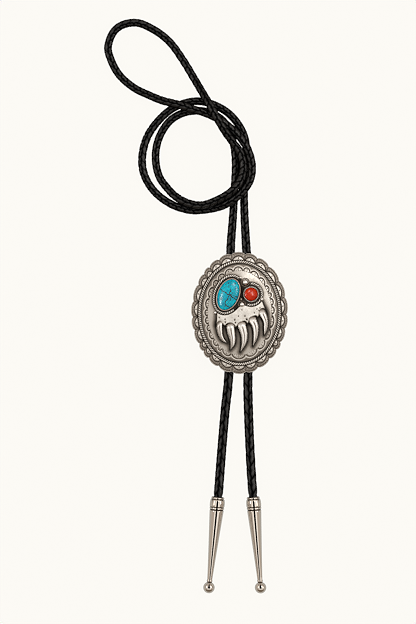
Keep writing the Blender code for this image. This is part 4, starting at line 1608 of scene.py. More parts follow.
@dataclass(frozen=True)
class Paw:
    """The paw overlay: a hammered pad and five polished claws."""

    dish: Dish
    pad_thickness: float = 0.0009
    claw_height: float = 0.0021
    root_arch: float = 0.0009
    sink: float = 0.0004
    edge_roll: float = 0.55 * MM
    edge_sink: float = 0.1 * MM
    edge_reach: Place = (0.05 * MM, 0.5 * MM)
    edge_shade: float = 0.50
    pad_shade: float = 0.19
    swell: float = 0.12 * MM
    swell_waves: tuple[float, float, float] = (1.9 * MM, 1.6 * MM, 3.1 * MM)
    large_dot: float = 0.42 * MM
    small_dot: float = 0.33 * MM
    dot_squeeze: float = 0.75
    dot_depth: float = 0.22 * MM
    hollow_shade: float = 0.95
    under_ropes: Place = (0.42 * MM, 0.98 * MM)
    shade_by_ropes: Place = (0.85 * MM, 1.35 * MM)
    tip_height: float = 0.12 * MM
    groove_depth: float = 0.20 * MM

    def build_pad(self, silver: bpy.types.Material) -> bpy.types.Object:
        """Make the pad as a thin closed sheet with rounded edges and stamped dots.

        Args:
            silver: its material.

        Returns:
            The pad.
        """
        columns, rows = 150, 44
        marks = np.linspace(0.0, 1.0, len(PAD_COLUMNS))
        wanted = np.linspace(0.0, 1.0, columns)
        upper, lower = (
            smooth_through(np.array([seen(*column[edge]) for column in PAD_COLUMNS]), marks, wanted)
            for edge in range(2)
        )
        near_end = [0.93, 0.955, 0.975, 0.988, 0.996, 1.0]
        down = np.concatenate([[0.0, 0.03], np.linspace(0.06, 0.90, rows - 2 - len(near_end)), near_end])
        flat = upper[None] + (lower - upper)[None] * down[:, None, None]
        x, y = flat[..., 0], flat[..., 1]
        outline = np.concatenate([upper, lower[::-1]])
        inner = np.maximum(-outline_distance(outline, x, y), 0.0)
        roll = np.sqrt(np.clip(1.0 - (1.0 - np.clip(inner / self.edge_roll, 0.0, 1.0)) ** 2, 0.0, 1.0))
        pit = np.zeros(x.shape)
        for number, place in enumerate(PAD_DOTS):
            spot_x, spot_y = seen(*place)
            size = self.large_dot if number < LARGE_DOTS else self.small_dot
            pit = np.maximum(pit, bell(np.hypot(x - spot_x, (y - spot_y) * self.dot_squeeze), 0.0, size))
        wave_x, wave_y, wave_skew = self.swell_waves
        swell = self.swell * np.sin(x / wave_x) * np.sin(y / wave_y + x / wave_skew)
        level = self.dish.level(x, y)
        beyond = np.minimum(
            TURQUOISE_OVAL.wider(TURQUOISE_ROPE).outside(x, y), CORAL_OVAL.wider(CORAL_ROPE).outside(x, y)
        )
        roll *= ramp(*self.under_ropes, beyond)
        top = level + (self.pad_thickness + self.edge_sink + swell) * roll - self.edge_sink - self.dot_depth * pit
        patina = self.edge_shade * (1.0 - ramp(*self.edge_reach, inner)) + self.pad_shade
        patina = np.maximum(patina, self.hollow_shade * ramp(0.25, 0.75, pit))
        # Painted shade where the pad runs under the cup ropes.
        patina = np.maximum(patina, self.hollow_shade * (1.0 - ramp(*self.shade_by_ropes, beyond)))
        places = np.concatenate([
            np.stack([x, y, top], -1).reshape(-1, 3), np.stack([x, y, level - self.sink], -1).reshape(-1, 3),
        ])
        size = x.size
        sheet = lattice(len(down), columns, closed=False)
        grid = np.arange(size).reshape(len(down), columns)
        border = np.concatenate([grid[0], grid[1:, -1], grid[-1, ::-1][1:], grid[::-1, 0][1:-1]])
        after = np.roll(border, -1)
        skirt = np.stack([border, border + size, after + size, after], -1)
        body = MeshPiece("paw_pad")
        body.add(places, [sheet, sheet[:, ::-1] + size, skirt], np.concatenate([patina.ravel(), patina.ravel()]))
        return body.finish(silver)

    def build_claws(self, silver: bpy.types.Material) -> bpy.types.Object:
        """Make the five claws, each a closed horn with a groove down its back.

        Args:
            silver: its material.

        Returns:
            The claws.
        """
        body = MeshPiece("paw_claws")
        steps, across_steps = 44, 37
        across = np.linspace(-1.0, 1.0, across_steps)
        for claw in CLAWS:
            left, right = claw.edges(steps)
            share = np.linspace(0.0, 1.0, steps)
            width = np.linalg.norm(right - left, axis=1)
            body_share = np.clip(width / width.max(), 0.0, 1.0)
            high = self.claw_height * (0.42 + 0.58 * body_share) * ramp(-0.12, 0.14, share)
            high[-1] = self.tip_height
            rings, shades = [], []
            root = (left[1] + right[1] - left[0] - right[0]) / 2
            root *= self.root_arch / np.linalg.norm(root)
            for step in range(steps):
                middle, half = (left[step] + right[step]) / 2, (right[step] - left[step]) / 2
                arched = (1.0 - across**2) * max(0.0, 1.0 - share[step] / 0.3) ** 2
                plan = middle + half * across[:, None] - root * arched[:, None]
                wall = np.minimum(1.0, (1.0 - np.abs(across)) / 0.40)
                round_back = 0.72 * np.sqrt(1.0 - (1.0 - wall) ** 2) + 0.28 * (1.0 - np.abs(across))
                fade = ramp(0.06, 0.2, share[step]) * (1.0 - ramp(0.85, 0.98, share[step]))
                groove = bell(across, 0.04, 0.18) * fade
                level = self.dish.level(plan[:, 0], plan[:, 1])
                z = level + high[step] * round_back - self.groove_depth * groove * body_share[step]
                z[0], z[-1] = level[0] - self.sink, level[-1] - self.sink
                rings.append(np.concatenate([plan, z[:, None]], 1))
                # Tarnish in the crease round each claw, with painted shade down its low sides.
                foot = 0.85 * (1.0 - ramp(0.05, 0.45, round_back))
                cuticle = 0.5 * bell(share[step], 0.02, 0.03)
                shades.append(np.clip(0.05 + foot + 0.74 * groove + cuticle, 0.0, 1.0))
            ends = np.array([rings[0].mean(0), rings[-1].mean(0)])
            shades.append([0.5, 0.2])
            body.add(np.concatenate([*rings, ends]), tube(steps, across_steps), np.concatenate(shades))
        return body.finish(silver)


@dataclass(frozen=True)
class BraidedCord:
    """The leather cord from tip to tip: its route, its thickness and its four-strand braid."""

    leg_radius: float = 0.0023
    loop_radius: float = 0.00195
    leg_until_y: float = 0.025
    loop_from_y: float = 0.060
    layer_gap: float = 0.0003
    ring_spacing: float = 0.00038
    sides: int = 36
    loop_pitch: float = 0.0042
    upper_pitch: float = 0.0055
    leg_pitch: float = 0.0074
    pitch_marks: tuple[float, float, float] = (-0.03, 0.035, 0.060)
    strand_lean: float = 0.55
    weave_sway: float = 0.014
    strand_rise: float = 0.00024
    groove_depth: float = 0.00042
    smooth_end: Place = (0.0100, 0.0125)
    socket_gap: float = 0.0003
    lead: float = 0.003
    # Middle of each channel through the clip, half its length and its height
    clip_side: float = 0.0048
    clip_half: float = 0.017
    clip_axis: float = 0.0036
    span_steps: int = 24
    # Route in millimetres, and the layer: 1 lies on the surface, 2 on one strand
    left_leg: tuple[tuple[float, float, float], ...] = (
        (-5.9, -37.0, 1.0), (-7.4, -50.5, 1.0), (-8.6, -64.0, 1.0), (-9.9, -80.0, 1.0),
    )
    right_leg: tuple[tuple[float, float, float], ...] = (
        (4.4, -37.0, 1.0), (4.7, -50.5, 1.0), (5.2, -64.0, 1.0), (6.0, -80.0, 1.0),
    )
    loop: tuple[tuple[float, float, float], ...] = (
        (-4.5, 35.0, 1.0), (-3.5, 48.5, 1.0), (-2.5, 65.0, 1.0), (-2.0, 79.5, 1.0),
        (-3.5, 90.0, 1.0), (-7.5, 99.0, 1.0), (-14.0, 104.0, 1.0), (-21.0, 105.5, 1.0),
        (-29.0, 104.5, 1.0), (-36.0, 100.5, 1.0), (-41.0, 93.5, 1.0), (-43.5, 85.5, 1.0),
        (-43.5, 77.5, 1.0), (-41.5, 70.5, 1.0), (-37.5, 65.0, 1.1), (-33.0, 60.5, 1.45),
        (-26.5, 57.0, 1.85), (-19.5, 56.0, 2.0), (-12.0, 58.5, 2.2), (-5.0, 62.5, 2.65),
        (0.0, 68.0, 2.45), (2.0, 75.5, 2.05), (0.5, 83.0, 2.1), (-3.0, 88.0, 2.25),
        (-7.5, 94.0, 2.7), (-11.5, 100.5, 3.1), (-15.0, 107.0, 3.05), (-19.0, 114.0, 2.2),
        (-23.5, 122.0, 1.2), (-29.5, 132.0, 1.0), (-36.5, 141.5, 1.0), (-45.0, 148.0, 1.0),
        (-54.5, 151.5, 1.0), (-64.0, 148.5, 1.0), (-68.5, 139.5, 1.0), (-67.0, 132.0, 1.0),
        (-62.5, 124.0, 1.0), (-55.0, 117.5, 1.0), (-47.0, 113.5, 1.2), (-40.0, 110.5, 1.7),
        (-32.5, 108.5, 2.03), (-24.5, 106.0, 2.03), (-18.0, 104.0, 2.0), (-11.5, 101.0, 1.98),
        (-5.0, 96.5, 2.0), (0.5, 91.0, 2.05), (4.5, 84.5, 2.05), (6.5, 76.5, 2.0),
        (5.5, 69.0, 2.1), (1.5, 63.0, 2.15), (-4.5, 58.0, 2.12), (-11.5, 55.0, 1.35),
        (-23.0, 53.5, 1.0), (-29.5, 54.5, 1.0), (-36.0, 57.0, 1.0), (-43.0, 62.0, 1.0),
        (-48.0, 68.5, 1.0), (-50.5, 75.5, 1.0), (-50.5, 83.5, 1.0), (-48.0, 92.0, 1.0),
        (-43.0, 99.5, 1.0), (-36.0, 106.0, 1.0), (-28.5, 109.5, 1.0), (-21.0, 110.5, 1.0),
        (-13.0, 108.5, 1.0), (-5.5, 104.0, 1.0), (0.0, 97.5, 1.0), (3.0, 90.5, 1.0),
        (3.5, 83.0, 1.0), (2.5, 69.0, 1.0), (2.5, 55.5, 1.0), (3.5, 35.0, 1.0),
    )

    def radius(self, y: Array) -> Array:
        """Radius of the cord, thicker along the legs than round the loop."""
        share = np.clip((y - self.leg_until_y) / (self.loop_from_y - self.leg_until_y), 0.0, 1.0)
        return self.leg_radius + (self.loop_radius - self.leg_radius) * share

    def _rows(self, rows: tuple[tuple[float, float, float], ...]) -> list[Array]:
        """Rows of the route as places."""
        lift = 2.0 * self.loop_radius + self.layer_gap
        return [
            np.array([x * MM, y * MM, float(self.radius(y * MM)) + (layer - 1.0) * lift])
            for x, y, layer in rows
        ]

    def route(self, left: "CordTip", right: "CordTip") -> Array:
        """Evenly spaced centre points from one tip's socket to the other's.

        Args:
            left: tip at the start.
            right: tip at the end.

        Returns:
            Centre points, three numbers each.
        """
        inside = left.socket_depth - self.socket_gap
        side, half, axis = self.clip_side, self.clip_half, self.clip_axis
        points = np.array([
            left.start + left.way * inside, left.start - left.way * self.lead,
            *reversed(self._rows(self.left_leg)),
            (-side, -half, axis), (-side, half, axis), *self._rows(self.loop), (side, half, axis),
            (side, -half, axis), *self._rows(self.right_leg),
            right.start - right.way * self.lead, right.start + right.way * inside,
        ])
        ways = np.empty_like(points)
        ways[1:-1] = points[2:] - points[:-2]
        ways[0], ways[-1] = points[1] - points[0], points[-1] - points[-2]
        ways /= np.linalg.norm(ways, axis=1)[:, None]
        share = turns(self.span_steps)[:, None]
        spans = []
        for index in range(len(points) - 1):
            start, end = points[index], points[index + 1]
            reach = np.linalg.norm(end - start) / 3
            first, second = start + ways[index] * reach, end - ways[index + 1] * reach
            back = 1.0 - share
            spans.append(
                start * back**3 + first * 3 * back**2 * share + second * 3 * back * share**2 + end * share**3
            )
        curve = np.concatenate([*spans, points[-1:]])
        curve[:, 2] = np.maximum(curve[:, 2], self.radius(curve[:, 1]))
        marks = lengths_along(curve)
        wanted = np.linspace(0.0, marks[-1], round(marks[-1] / self.ring_spacing) + 1)
        return np.stack([np.interp(wanted, marks, curve[:, axis_number]) for axis_number in range(3)], -1)

    def _braid(self, around: Array, beat: Array) -> tuple[Array, Array]:
        """Height of the braid, and a mask of gloss and painted shade: four columns of leaning strands that dip where
        they cross.

        Args:
            around: turns round the cord.
            beat: strands counted along it.

        Returns:
            Height, and the mask of gloss and painted shade, each 0 in the grooves and 1 on the strands' backs.
        """
        woven = (around + self.weave_sway * np.sin(4.0 * math.pi * beat)) % 1.0
        column = np.floor(woven * 4.0)
        across = woven * 4.0 - column - 0.5
        hand = np.where(column % 2 == 0, 1.0, -1.0)
        step = beat + 0.5 * (column % 2) + hand * self.strand_lean * across
        offset = step - np.floor(step) - 0.5
        off_strand, off_column = np.abs(2.0 * offset), np.abs(2.0 * across)
        height = np.clip(1.0 - off_strand**7.0, 0.0, 1.0) * np.clip(1.0 - off_column**5.0, 0.0, 1.0)
        # The mask falls off more softly than the height, so the colour darkens towards each strand's edges and at
        # the cord's sides as painted shade.
        gloss_and_shade = np.clip(1.0 - off_strand**5.0, 0.0, 1.0) * np.clip(1.0 - off_column**2.2, 0.0, 1.0)
        return height, gloss_and_shade

    def _beats(self, y: Array) -> Array:
        """Strands counted along the cord, which lie longer in the legs than round the loop.

        Args:
            y: Y of each ring of the cord.

        Returns:
            The count at each ring.
        """
        pitch = np.interp(y, self.pitch_marks, (self.leg_pitch, self.upper_pitch, self.loop_pitch))
        return np.cumsum(self.ring_spacing / pitch)

    def build(
        self, leather: bpy.types.Material, left: "CordTip", right: "CordTip"
    ) -> tuple[bpy.types.Object, Array]:
        """Make the cord as one braided tube.

        Args:
            leather: its material.
            left: tip at the start.
            right: tip at the end.

        Returns:
            The cord and its centre points.
        """
        centres = self.route(left, right)
        way = np.gradient(centres, axis=0)
        way /= np.linalg.norm(way, axis=1)[:, None]
        side, over = cross_axes(way)
        along = np.arange(len(centres)) * self.ring_spacing
        drift = 0.02 * np.sin(along / 0.031) + 0.016 * np.sin(along / 0.0113 + 1.0)
        around = turns(self.sides)
        angle = TURN * around
        height, gloss_and_shade = self._braid(around[None, :] + drift[:, None], self._beats(centres[:, 1])[:, None])
        inside = np.minimum(along, along[-1] - along)
        rise = self.strand_rise * ramp(*self.smooth_end, inside)
        radius = self.radius(centres[:, 1])[:, None] + rise[:, None] - self.groove_depth * (1.0 - height)
        places = (
            centres[:, None, :]
            + side[:, None, :] * (radius * np.sin(angle)[None, :])[..., None]
            + over[:, None, :] * (radius * np.cos(angle)[None, :])[..., None]
        )
        places[..., 2] = np.maximum(places[..., 2], 0.0)
        body = MeshPiece("cord_braid")
        body.add(
            np.concatenate([places.reshape(-1, 3), centres[[0, -1]]]), tube(len(centres), self.sides),
            np.concatenate([1.0 - gloss_and_shade.ravel(), [1.0, 1.0]]),
        )
        return body.finish(leather), centres


@dataclass(frozen=True)
class CordTip:
    """A turned metal tip: a ringed barrel, a long cone and a ball."""

    name: str
    node: str
    mouth: Place
    ball: Place
    length: float = 0.0505
    barrel_radius: float = 0.0039
    ball_radius: float = 0.0030
    rest: float = 0.08
    socket_depth: float = 0.0100
    socket_radius: float = 0.0026
    # Share of the length, share of the barrel's radius and tarnish
    profile: tuple[tuple[float, float, float], ...] = (
        (0.0000, 0.78, 0.40), (0.0016, 0.84, 0.10), (0.0060, 0.870, 0.0), (0.0140, 0.870, 0.0),
        (0.0172, 0.850, 0.10), (0.0186, 0.79, 0.95), (0.0216, 0.79, 0.95), (0.0230, 0.865, 0.15),
        (0.0270, 0.935, 0.0), (0.0380, 0.965, 0.0), (0.0540, 0.990, 0.0), (0.0700, 1.0, 0.0),
        (0.0860, 0.998, 0.0), (0.0960, 0.990, 0.0), (0.0992, 0.970, 0.10), (0.1006, 0.89, 0.95),
        (0.1052, 0.89, 0.95), (0.1066, 0.955, 0.10), (0.1100, 0.975, 0.0), (0.1220, 0.972, 0.0),
        (0.1250, 0.955, 0.10), (0.1266, 0.88, 0.95), (0.1350, 0.875, 0.95), (0.1368, 0.93, 0.15),
        (0.1400, 0.945, 0.0), (0.1500, 0.940, 0.0), (0.2200, 0.875, 0.0), (0.3200, 0.785, 0.0),
        (0.4400, 0.680, 0.0), (0.5600, 0.575, 0.0), (0.6800, 0.475, 0.0), (0.7800, 0.395, 0.0),
        (0.8560, 0.338, 0.0), (0.8620, 0.345, 0.25), (0.8680, 0.385, 0.05), (0.8760, 0.385, 0.05),
        (0.8800, 0.34, 0.7),
    )

    @property
    def slope(self) -> float:
        """Fall of the tip's axis along it, as it rests on its barrel and its ball."""
        return (self.barrel_radius - self.ball_radius) / (self.length * (1.0 - self.rest) - self.ball_radius)

    @property
    def way(self) -> Array:
        """Direction from the mouth to the ball as the tip lies on the surface."""
        flat = np.array([self.ball[0] - self.mouth[0], self.ball[1] - self.mouth[1], 0.0])
        lean = flat / np.linalg.norm(flat) - np.array([0.0, 0.0, self.slope])
        return lean / np.linalg.norm(lean)

    @property
    def start(self) -> Array:
        """Middle of the tip's mouth."""
        return np.array([*self.mouth, self.barrel_radius + self.length * self.rest * self.slope])

    def build(self, nickel: bpy.types.Material, sides: int = 72) -> bpy.types.Object:
        """Make the tip by turning its profile.

        Args:
            nickel: its material.
            sides: number of sides round it.

        Returns:
            The tip.
        """
        rows = [(self.socket_radius * 0.99, self.socket_depth, 0.9), (self.socket_radius * 0.99, 0.0006, 0.8)]
        rows += [(self.barrel_radius * wide, self.length * along, dull) for along, wide, dull in self.profile]
        centre = self.length - self.ball_radius
        for lean in np.linspace(-66.0, 86.0, 24):
            angle = math.radians(lean)
            dull = 0.7 if lean < -60.0 else 0.0
            rows.append((self.ball_radius * math.cos(angle), centre + self.ball_radius * math.sin(angle), dull))
        way = self.way
        side, over = cross_axes(way)
        angle = TURN * np.arange(sides) / sides
        ring = side[None] * np.cos(angle)[:, None] + over[None] * np.sin(angle)[:, None]
        places = np.concatenate([self.start + way * along + ring * radius for radius, along, _ in rows])
        ends = np.stack([self.start + way * self.socket_depth, self.start + way * self.length])
        shades = np.concatenate([np.repeat([dull for _, _, dull in rows], sides), [0.9, 0.0]])
        body = MeshPiece(self.name)
        body.add(np.concatenate([places, ends]), tube(len(rows), sides), shades)
        piece = body.finish(nickel, sharp=50.0)
        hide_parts(self.node)
        return piece


@dataclass(frozen=True)
class SoftBox:
    """A soft rectangular studio light, placed by where the tie sees it."""

    name: str
    azimuth: float
    lean: float
    distance: float
    width: float
    height: float
    radiance: float
    tint: Colour = (1.0, 0.985, 0.965)

    def build(self, target: Vector) -> bpy.types.Object:
        """Make the light, aimed at a place.

        Args:
            target: the place that it is aimed at.

        Returns:
            The light.
        """
        data = bpy.data.lights.new(self.name, "AREA")
        data.shape = "RECTANGLE"
        data.size, data.size_y = self.width, self.height
        data.energy = self.radiance * math.pi * self.width * self.height
        data.color = self.tint
        lamp = put(self.name, data)
        turn, lean = math.radians(self.azimuth), math.radians(self.lean)
        way = Vector((math.sin(turn) * math.sin(lean), math.cos(turn) * math.sin(lean), math.cos(lean)))
        lamp.location = target + way * self.distance
        lamp.rotation_mode = "QUATERNION"
        lamp.rotation_quaternion = way.to_track_quat("Z", "Y")
        lamp.visible_camera = False
        return lamp


@dataclass(frozen=True)
class Studio:
    """The pale floor, the soft lights, the surroundings and the camera."""

    floor_colour: Colour = (0.983, 0.966, 0.925)
    floor_size: float = 6.0
    floor_level: float = -0.0001
    floor_glow: float = 0.955
    least_glow: float = 0.02
    tip_flag: Place = (-0.084, -0.094)
    tip_flag_glow: float = 0.46
    slide_flag: Place = (0.032, 0.038)
    slide_flag_edge: Place = (1.15, 0.95)
    slide_flag_glow: float = 0.55
    fibre_scale: float = 900.0
    # The mirrored room: its colours, and where one gives way to the next, as shares of the direction
    ceiling: Colour = (1.02, 0.99, 0.95)
    side_wall: Colour = (0.50, 0.445, 0.395)
    front_wall: Colour = (0.20, 0.160, 0.122)
    room_middle: float = 0.04
    side_edge: Place = (0.69, 0.47)
    front_edge: Place = (-0.68, -0.30)
    back_edge: Place = (0.80, 0.22)
    lens: float = 120.0
    sensor: float = 36.0
    aim: tuple[float, float, float] = (-0.0164, 0.0005, 0.005)
    card_colour: tuple[float, float, float, float] = (0.004, 0.004, 0.004, 1.0)
    card_level: float = 0.016
    card_margin: float = 0.005
    card_narrow: float = 0.0021
    card_wide: float = 0.0046
    crispness: float = 0.2
    display_gamma: float = 2.2

    def build_camera(self) -> bpy.types.Object:
        """Make the camera straight above the tie, framed as the photograph is."""
        data = bpy.data.cameras.new("camera")
        data.lens, data.sensor_width, data.sensor_fit = self.lens, self.sensor, "AUTO"
        data.clip_start, data.clip_end = 0.05, 20.0
        camera = put("camera", data)
        distance = PICTURE_PIXELS[1] * PIXEL * self.lens / self.sensor
        camera.location = (self.aim[0], self.aim[1], self.aim[2] + distance)
        bpy.context.scene.camera = camera
        return camera

    def build_floor(self) -> bpy.types.Object:
        """Make the pale surface.

        Its glow is kept low round the cord and the slide for every ray but the camera's, as flags would keep it.

        Returns:
            The floor.
        """
        half, level = self.floor_size / 2, self.floor_level
        mesh = bpy.data.meshes.new("floor")
        corners = [(-half, -half, level), (half, -half, level), (half, half, level), (-half, half, level)]
        mesh.from_pydata(corners, [], [(0, 1, 2, 3)])
        material, graph, shader = Graph.of_material("floor_paper")
        place = graph.place()
        split = graph.node("SeparateXYZ", {0: place}).outputs
        by_tips = graph.stretch(split[1], *self.tip_flag, (0.0, self.tip_flag_glow))
        across, along = (
            graph.maths("POWER", graph.maths("DIVIDE", split[number], size), 2.0)
            for number, size in enumerate(self.slide_flag)
        )
        reach = graph.maths("SQRT", graph.maths("ADD", across, along))
        by_slide = graph.stretch(reach, *self.slide_flag_edge, (0.0, self.slide_flag_glow))
        flagged = graph.maths("ADD", graph.maths("MAXIMUM", by_tips, by_slide), self.least_glow)
        direct = graph.node("LightPath").outputs["Is Camera Ray"]
        glow = graph.node("Mix", {0: direct, 2: flagged, 3: self.floor_glow}, data_type="FLOAT").outputs[0]
        fibre = graph.noise(place, self.fibre_scale, 3.0)["Fac"]
        left_over = 1.0 - self.floor_glow
        graph.feed(shader, {
            "Normal": graph.bump(fibre, 0.05, 0.0001), "Emission Strength": glow,
            "Base Color": (*(c * left_over for c in self.floor_colour), 1.0),
            "Emission Color": (*self.floor_colour, 1.0), "Roughness": 0.9, "Specular IOR Level": 0.0,
        })
        mesh.materials.append(material)
        floor = put("floor", mesh)
        return floor

    def build_surroundings(self) -> None:
        """Make the room that the metal mirrors: pale overhead, tan at the sides and dark in front."""
        world = bpy.data.worlds.new("studio")
        bpy.context.scene.world = world
        world.use_nodes = True
        graph = Graph(world.node_tree)
        backdrop = world.node_tree.nodes["Background"]
        way = graph.node("SeparateXYZ", {0: graph.node("TexCoord").outputs["Generated"]}).outputs
        aside = graph.maths("ABSOLUTE", graph.maths("SUBTRACT", way[0], self.room_middle))
        ahead = graph.stretch(way[1], *self.front_edge)
        behind = graph.stretch(way[1], *self.back_edge)
        overhead = graph.maths(
            "MULTIPLY", graph.stretch(aside, *self.side_edge), graph.maths("MULTIPLY", ahead, behind)
        )
        walls = graph.mix(ahead, self.front_wall, self.side_wall)
        room = graph.node("Background", {"Color": graph.mix(overhead, walls, self.ceiling)})
        graph.feed(backdrop, {"Color": (*self.floor_colour, 1.0)})
        direct = graph.node("LightPath").outputs["Is Camera Ray"]
        choice = graph.node("MixShader", {0: direct, 1: room.outputs[0], 2: backdrop.outputs[0]})
        graph.feed(world.node_tree.nodes["World Output"], {"Surface": choice.outputs[0]})

    def build_dark_cards(self, tips: tuple["CordTip", ...]) -> bpy.types.Object:
        """Make the narrow dark cards over the tips, which draw the dark line down polished round metal.

        Args:
            tips: the tips that they hang over.

        Returns:
            The cards, as one object.
        """
        corners, faces = [], []
        for tip in tips:
            way = tip.way[:2] / np.linalg.norm(tip.way[:2])
            side = np.array([-way[1], way[0]])
            for along, half in ((-self.card_margin, self.card_narrow), (tip.length, self.card_wide)):
                middle = np.array(tip.mouth) + way * along
                for hand in (-1.0, 1.0):
                    corners.append((*(middle + side * half * hand), self.card_level))
            first = len(corners) - 4
            faces.append((first, first + 1, first + 3, first + 2))
        mesh = bpy.data.meshes.new("dark_cards")
        mesh.from_pydata(corners, [], faces)
        material, graph, shader = Graph.of_material("dark_card")
        graph.feed(shader, {"Base Color": self.card_colour, "Roughness": 1.0, "Specular IOR Level": 0.0})
        mesh.materials.append(material)
        cards = put("dark_cards", mesh)
        cards.visible_camera = cards.visible_diffuse = cards.visible_shadow = False
        return cards

    def build_lights(self) -> list[bpy.types.Object]:
        """Make the soft boxes that light all of the tie.

        Returns:
            The lights.
        """
        target = Vector((0.0, 0.0, 0.0))
        boxes = (
            SoftBox("key_box", 38.0, 31.0, 1.5, 0.60, 0.50, 1.5),
            SoftBox("left_box", -80.0, 52.0, 1.6, 0.9, 0.40, 1.4),
            SoftBox("right_box", 84.0, 52.0, 1.6, 0.9, 0.40, 1.4),
        )
        return [box.build(target) for box in boxes]

    @staticmethod
    def _aimed_only_at(
        pieces: list[bpy.types.Object], boxes: tuple[SoftBox, ...], target: Vector
    ) -> list[bpy.types.Object]:
        """Make soft boxes that light a few pieces and nothing else.

        Args:
            pieces: the pieces that catch the light.
            boxes: the soft boxes.
            target: the place that they are aimed at.

        Returns:
            The lights.
        """
        receivers = bpy.data.collections.new(boxes[0].name + "_receivers")
        for piece in pieces:
            receivers.objects.link(piece)
        lamps = [box.build(target) for box in boxes]
        for lamp in lamps:
            lamp.light_linking.receiver_collection = receivers
        return lamps

    def build_claw_light(self, claws: list[bpy.types.Object]) -> list[bpy.types.Object]:
        """Make the broad box in front that keeps the claws' backs bright down to their tips."""
        box = SoftBox("claw_front", 172.0, 40.0, 1.5, 1.2, 1.15, 0.55)
        return self._aimed_only_at(claws, (box,), Vector((0.0, -0.008, 0.012)))

    def build_stone_lights(self, stones: list[bpy.types.Object]) -> list[bpy.types.Object]:
        """Make the small bright boxes that only the stones catch.

        Args:
            stones: the stones.

        Returns:
            The lights.
        """
        boxes = (
            SoftBox("stone_top", 2.0, 31.0, 1.5, 0.16, 0.16, 70.0),
            SoftBox("stone_left", -80.0, 38.0, 1.5, 0.60, 0.09, 110.0),
            SoftBox("stone_right", 52.0, 26.0, 1.5, 0.40, 0.08, 60.0),
        )
        return self._aimed_only_at(stones, boxes, Vector((0.0, 0.010, 0.013)))

    def build_print(self) -> None:
        """Set the view transform and the crisp finish of a printed product picture."""
        scene = bpy.context.scene
        scene.view_settings.view_transform = "Standard"
        scene.view_settings.look = "None"
        scene.use_nodes = True
        tree = scene.node_tree
        tree.nodes.clear()
        picture = tree.nodes.new("CompositorNodeRLayers")
        for kind, inputs in (
            ("Gamma", {"Gamma": 1.0 / self.display_gamma}), ("Filter", {"Fac": self.crispness}),
            ("Gamma", {"Gamma": self.display_gamma}), ("Composite", {}),
        ):
            stage = tree.nodes.new("CompositorNode" + kind)
            if kind == "Filter":
                stage.filter_type = "SHARPEN_DIAMOND"
            Graph(tree).feed(stage, {"Image": picture.outputs["Image"], **inputs})
            picture = stage

    def build(self) -> None:
        """Make all of the studio."""
        self.build_camera()
        self.build_surroundings()
        self.build_floor()
        self.build_lights()
        self.build_print()


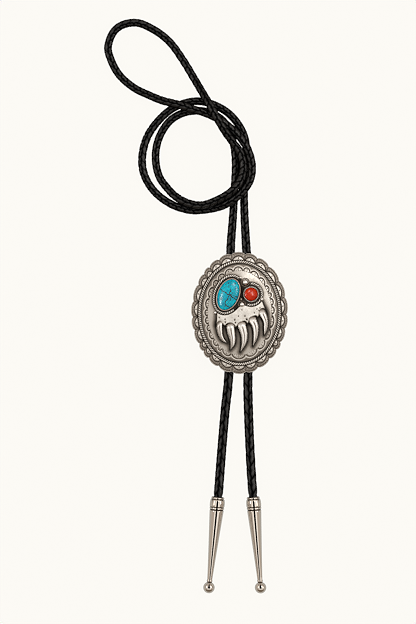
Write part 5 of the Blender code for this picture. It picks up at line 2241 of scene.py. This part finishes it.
class SlidePieces:
    """The silver slide with its stones."""

    def __init__(self, finishes: Finishes) -> None:
        """Keep the finishes that the slide is dressed in."""
        self.finishes = finishes
        self.dish = Dish()

    def build(self) -> list[bpy.types.Object]:
        """Build and dress every piece of the slide.

        Returns:
            The pieces.
        """
        dish, finishes = self.dish, self.finishes
        plate = ConchoPlate(dish)
        border = plate.build_border(finishes.silver)
        dome = plate.build_dome(finishes.silver, TrimShade.of_slide())
        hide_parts("concho")
        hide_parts("concho")
        pieces = [border, dome, *self._wires(), *self._settings()]
        paw = Paw(dish)
        pieces += [paw.build_pad(finishes.pad_silver), paw.build_claws(finishes.claw_silver), self._shots()]
        return pieces

    def _wires(self) -> list[bpy.types.Object]:
        """Build the rope ring and the ropes round the two cups."""
        tilt = TURQUOISE_OVAL.tilt / (TURN)
        ring = Oval((0.0, 0.0), self.dish.rope_height / 2, self.dish.rope_width / 2)
        wires = (
            TwistedWire("rope_ring", ring, 1.35 * MM, 2.2 * MM),
            TwistedWire(
                "turquoise_rope", TURQUOISE_OVAL.wider(TURQUOISE_ROPE), 1.25 * MM, 2.1 * MM,
                0.416 - tilt, 1.105 - tilt,
            ),
            TwistedWire("coral_rope", CORAL_OVAL.wider(CORAL_ROPE), 1.25 * MM, 2.1 * MM, -0.006, 0.558),
        )
        return [wire.build(self.dish, self.finishes.wire_silver) for wire in wires]

    def _settings(self) -> list[bpy.types.Object]:
        """Build the two stones and their bezels."""
        dish, finishes = self.dish, self.finishes
        turquoise = Cabochon(
            "turquoise_stone", TURQUOISE_OVAL, 2.6 * MM, Slot.TURQUOISE,
            veins=(
                ((221.0, 289.8), (223.2, 291.6), (225.2, 292.6), (227.2, 294.2), (229.0, 294.8), (231.4, 296.8),
                 (233.8, 298.2), (236.6, 300.6)),
                ((229.0, 294.8), (231.8, 295.0), (234.2, 296.4), (237.0, 296.8)),
                ((229.0, 294.8), (229.4, 292.6), (230.6, 291.4), (230.2, 289.6)),
                ((229.0, 295.2), (227.8, 297.8), (227.2, 299.6), (225.4, 301.4), (225.0, 303.6), (225.9, 305.8)),
                ((225.4, 304.4), (227.4, 306.0), (229.2, 307.8)),
                ((231.4, 296.8), (230.0, 298.6), (230.6, 300.6)),
            ),
            vein_widths=(0.66, 0.44, 0.50, 0.52, 0.46, 0.34),
            specks=(
                (228.4, 283.4, 0.9), (235.4, 283.4, 0.6), (225.0, 285.2, 0.6), (232.8, 293.2, 0.5),
                (230.4, 296.0, 0.9), (222.4, 300.6, 0.5), (227.6, 306.2, 0.8), (234.0, 304.2, 0.5),
            ),
        ).build(dish, finishes.turquoise)
        coral = Cabochon("coral_stone", CORAL_OVAL, 2.1 * MM, Slot.CORAL, stations=120, rows=40).build(
            dish, finishes.coral
        )
        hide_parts("turquoise")
        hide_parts("coral")
        bezels = (
            Bezel("turquoise_bezel", TURQUOISE_OVAL, 0.64 * MM, 1.5 * MM, BezelEdge.PLAIN, dullness=0.42),
            Bezel("coral_bezel", CORAL_OVAL, 0.92 * MM, 1.4 * MM, BezelEdge.SERRATED),
        )
        return [turquoise, coral, *(bezel.build(dish, finishes.bright_silver) for bezel in bezels)]

    def _shots(self) -> bpy.types.Object:
        """Build the small balls as one piece."""
        body = MeshPiece("shots")
        shots = (
            Shot((245.0, 282.5), 1.7 * MM, collar=True), Shot((241.8, 304.6), 1.4 * MM, collar=True),
            Shot((215.1, 312.7), 0.9 * MM), Shot((261.6, 299.3), 0.9 * MM), Shot((240.4, 277.9), 0.7 * MM),
            # The small ball between the cups is painted darker, as painted shadow.
            Shot((241.0, 299.3), 0.65 * MM, dullness=0.5),
        )
        for shot in shots:
            shot.add_to(body, self.dish)
        return body.finish(self.finishes.bright_silver)


class CordPieces:
    """The braided cord with its two tips."""

    def __init__(self, finishes: Finishes) -> None:
        """Keep the finishes that the cord is dressed in."""
        self.finishes = finishes
        self.left = CordTip("left_tip", "tip_left", (-0.0112, -0.0959), (-0.0159, -0.1432))
        self.right = CordTip("right_tip", "tip_right", (0.0071, -0.0959), (0.0110, -0.1431))

    def build(self) -> list[bpy.types.Object]:
        """Returns:
            The pieces.
        """
        cord, centres = BraidedCord().build(self.finishes.leather, self.left, self.right)
        tips = [tip.build(self.finishes.nickel) for tip in (self.left, self.right)]
        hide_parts("cord")
        return [cord, *tips]


def dress_clip(finishes: Finishes) -> bpy.types.Object:
    """Give the hidden clip, which keeps its own shape, its satin steel.

    Args:
        finishes: the tie's finishes.

    Returns:
        The clip.
    """
    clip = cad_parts["slide_clip"]
    clip.data.materials.clear()
    clip.data.materials.append(finishes.steel)
    return clip


def main() -> None:
    """Build the studio and the tie, and report each piece."""
    logging.basicConfig(level=logging.INFO, format="%(name)s %(message)s")
    studio = Studio()
    studio.build()
    finishes = Finishes()
    cord = CordPieces(finishes)
    pieces = cord.build()
    studio.build_dark_cards((cord.left, cord.right))
    pieces += SlidePieces(finishes).build()
    pieces.append(dress_clip(finishes))
    studio.build_stone_lights([piece for piece in pieces if piece.name.endswith("_stone")])
    studio.build_claw_light([piece for piece in pieces if piece.name == "paw_claws"])
    for piece in pieces:
        LOG.info("%s is dressed in %s", piece.name, piece.data.materials[0].name)


if __name__ == "__main__":
    main()
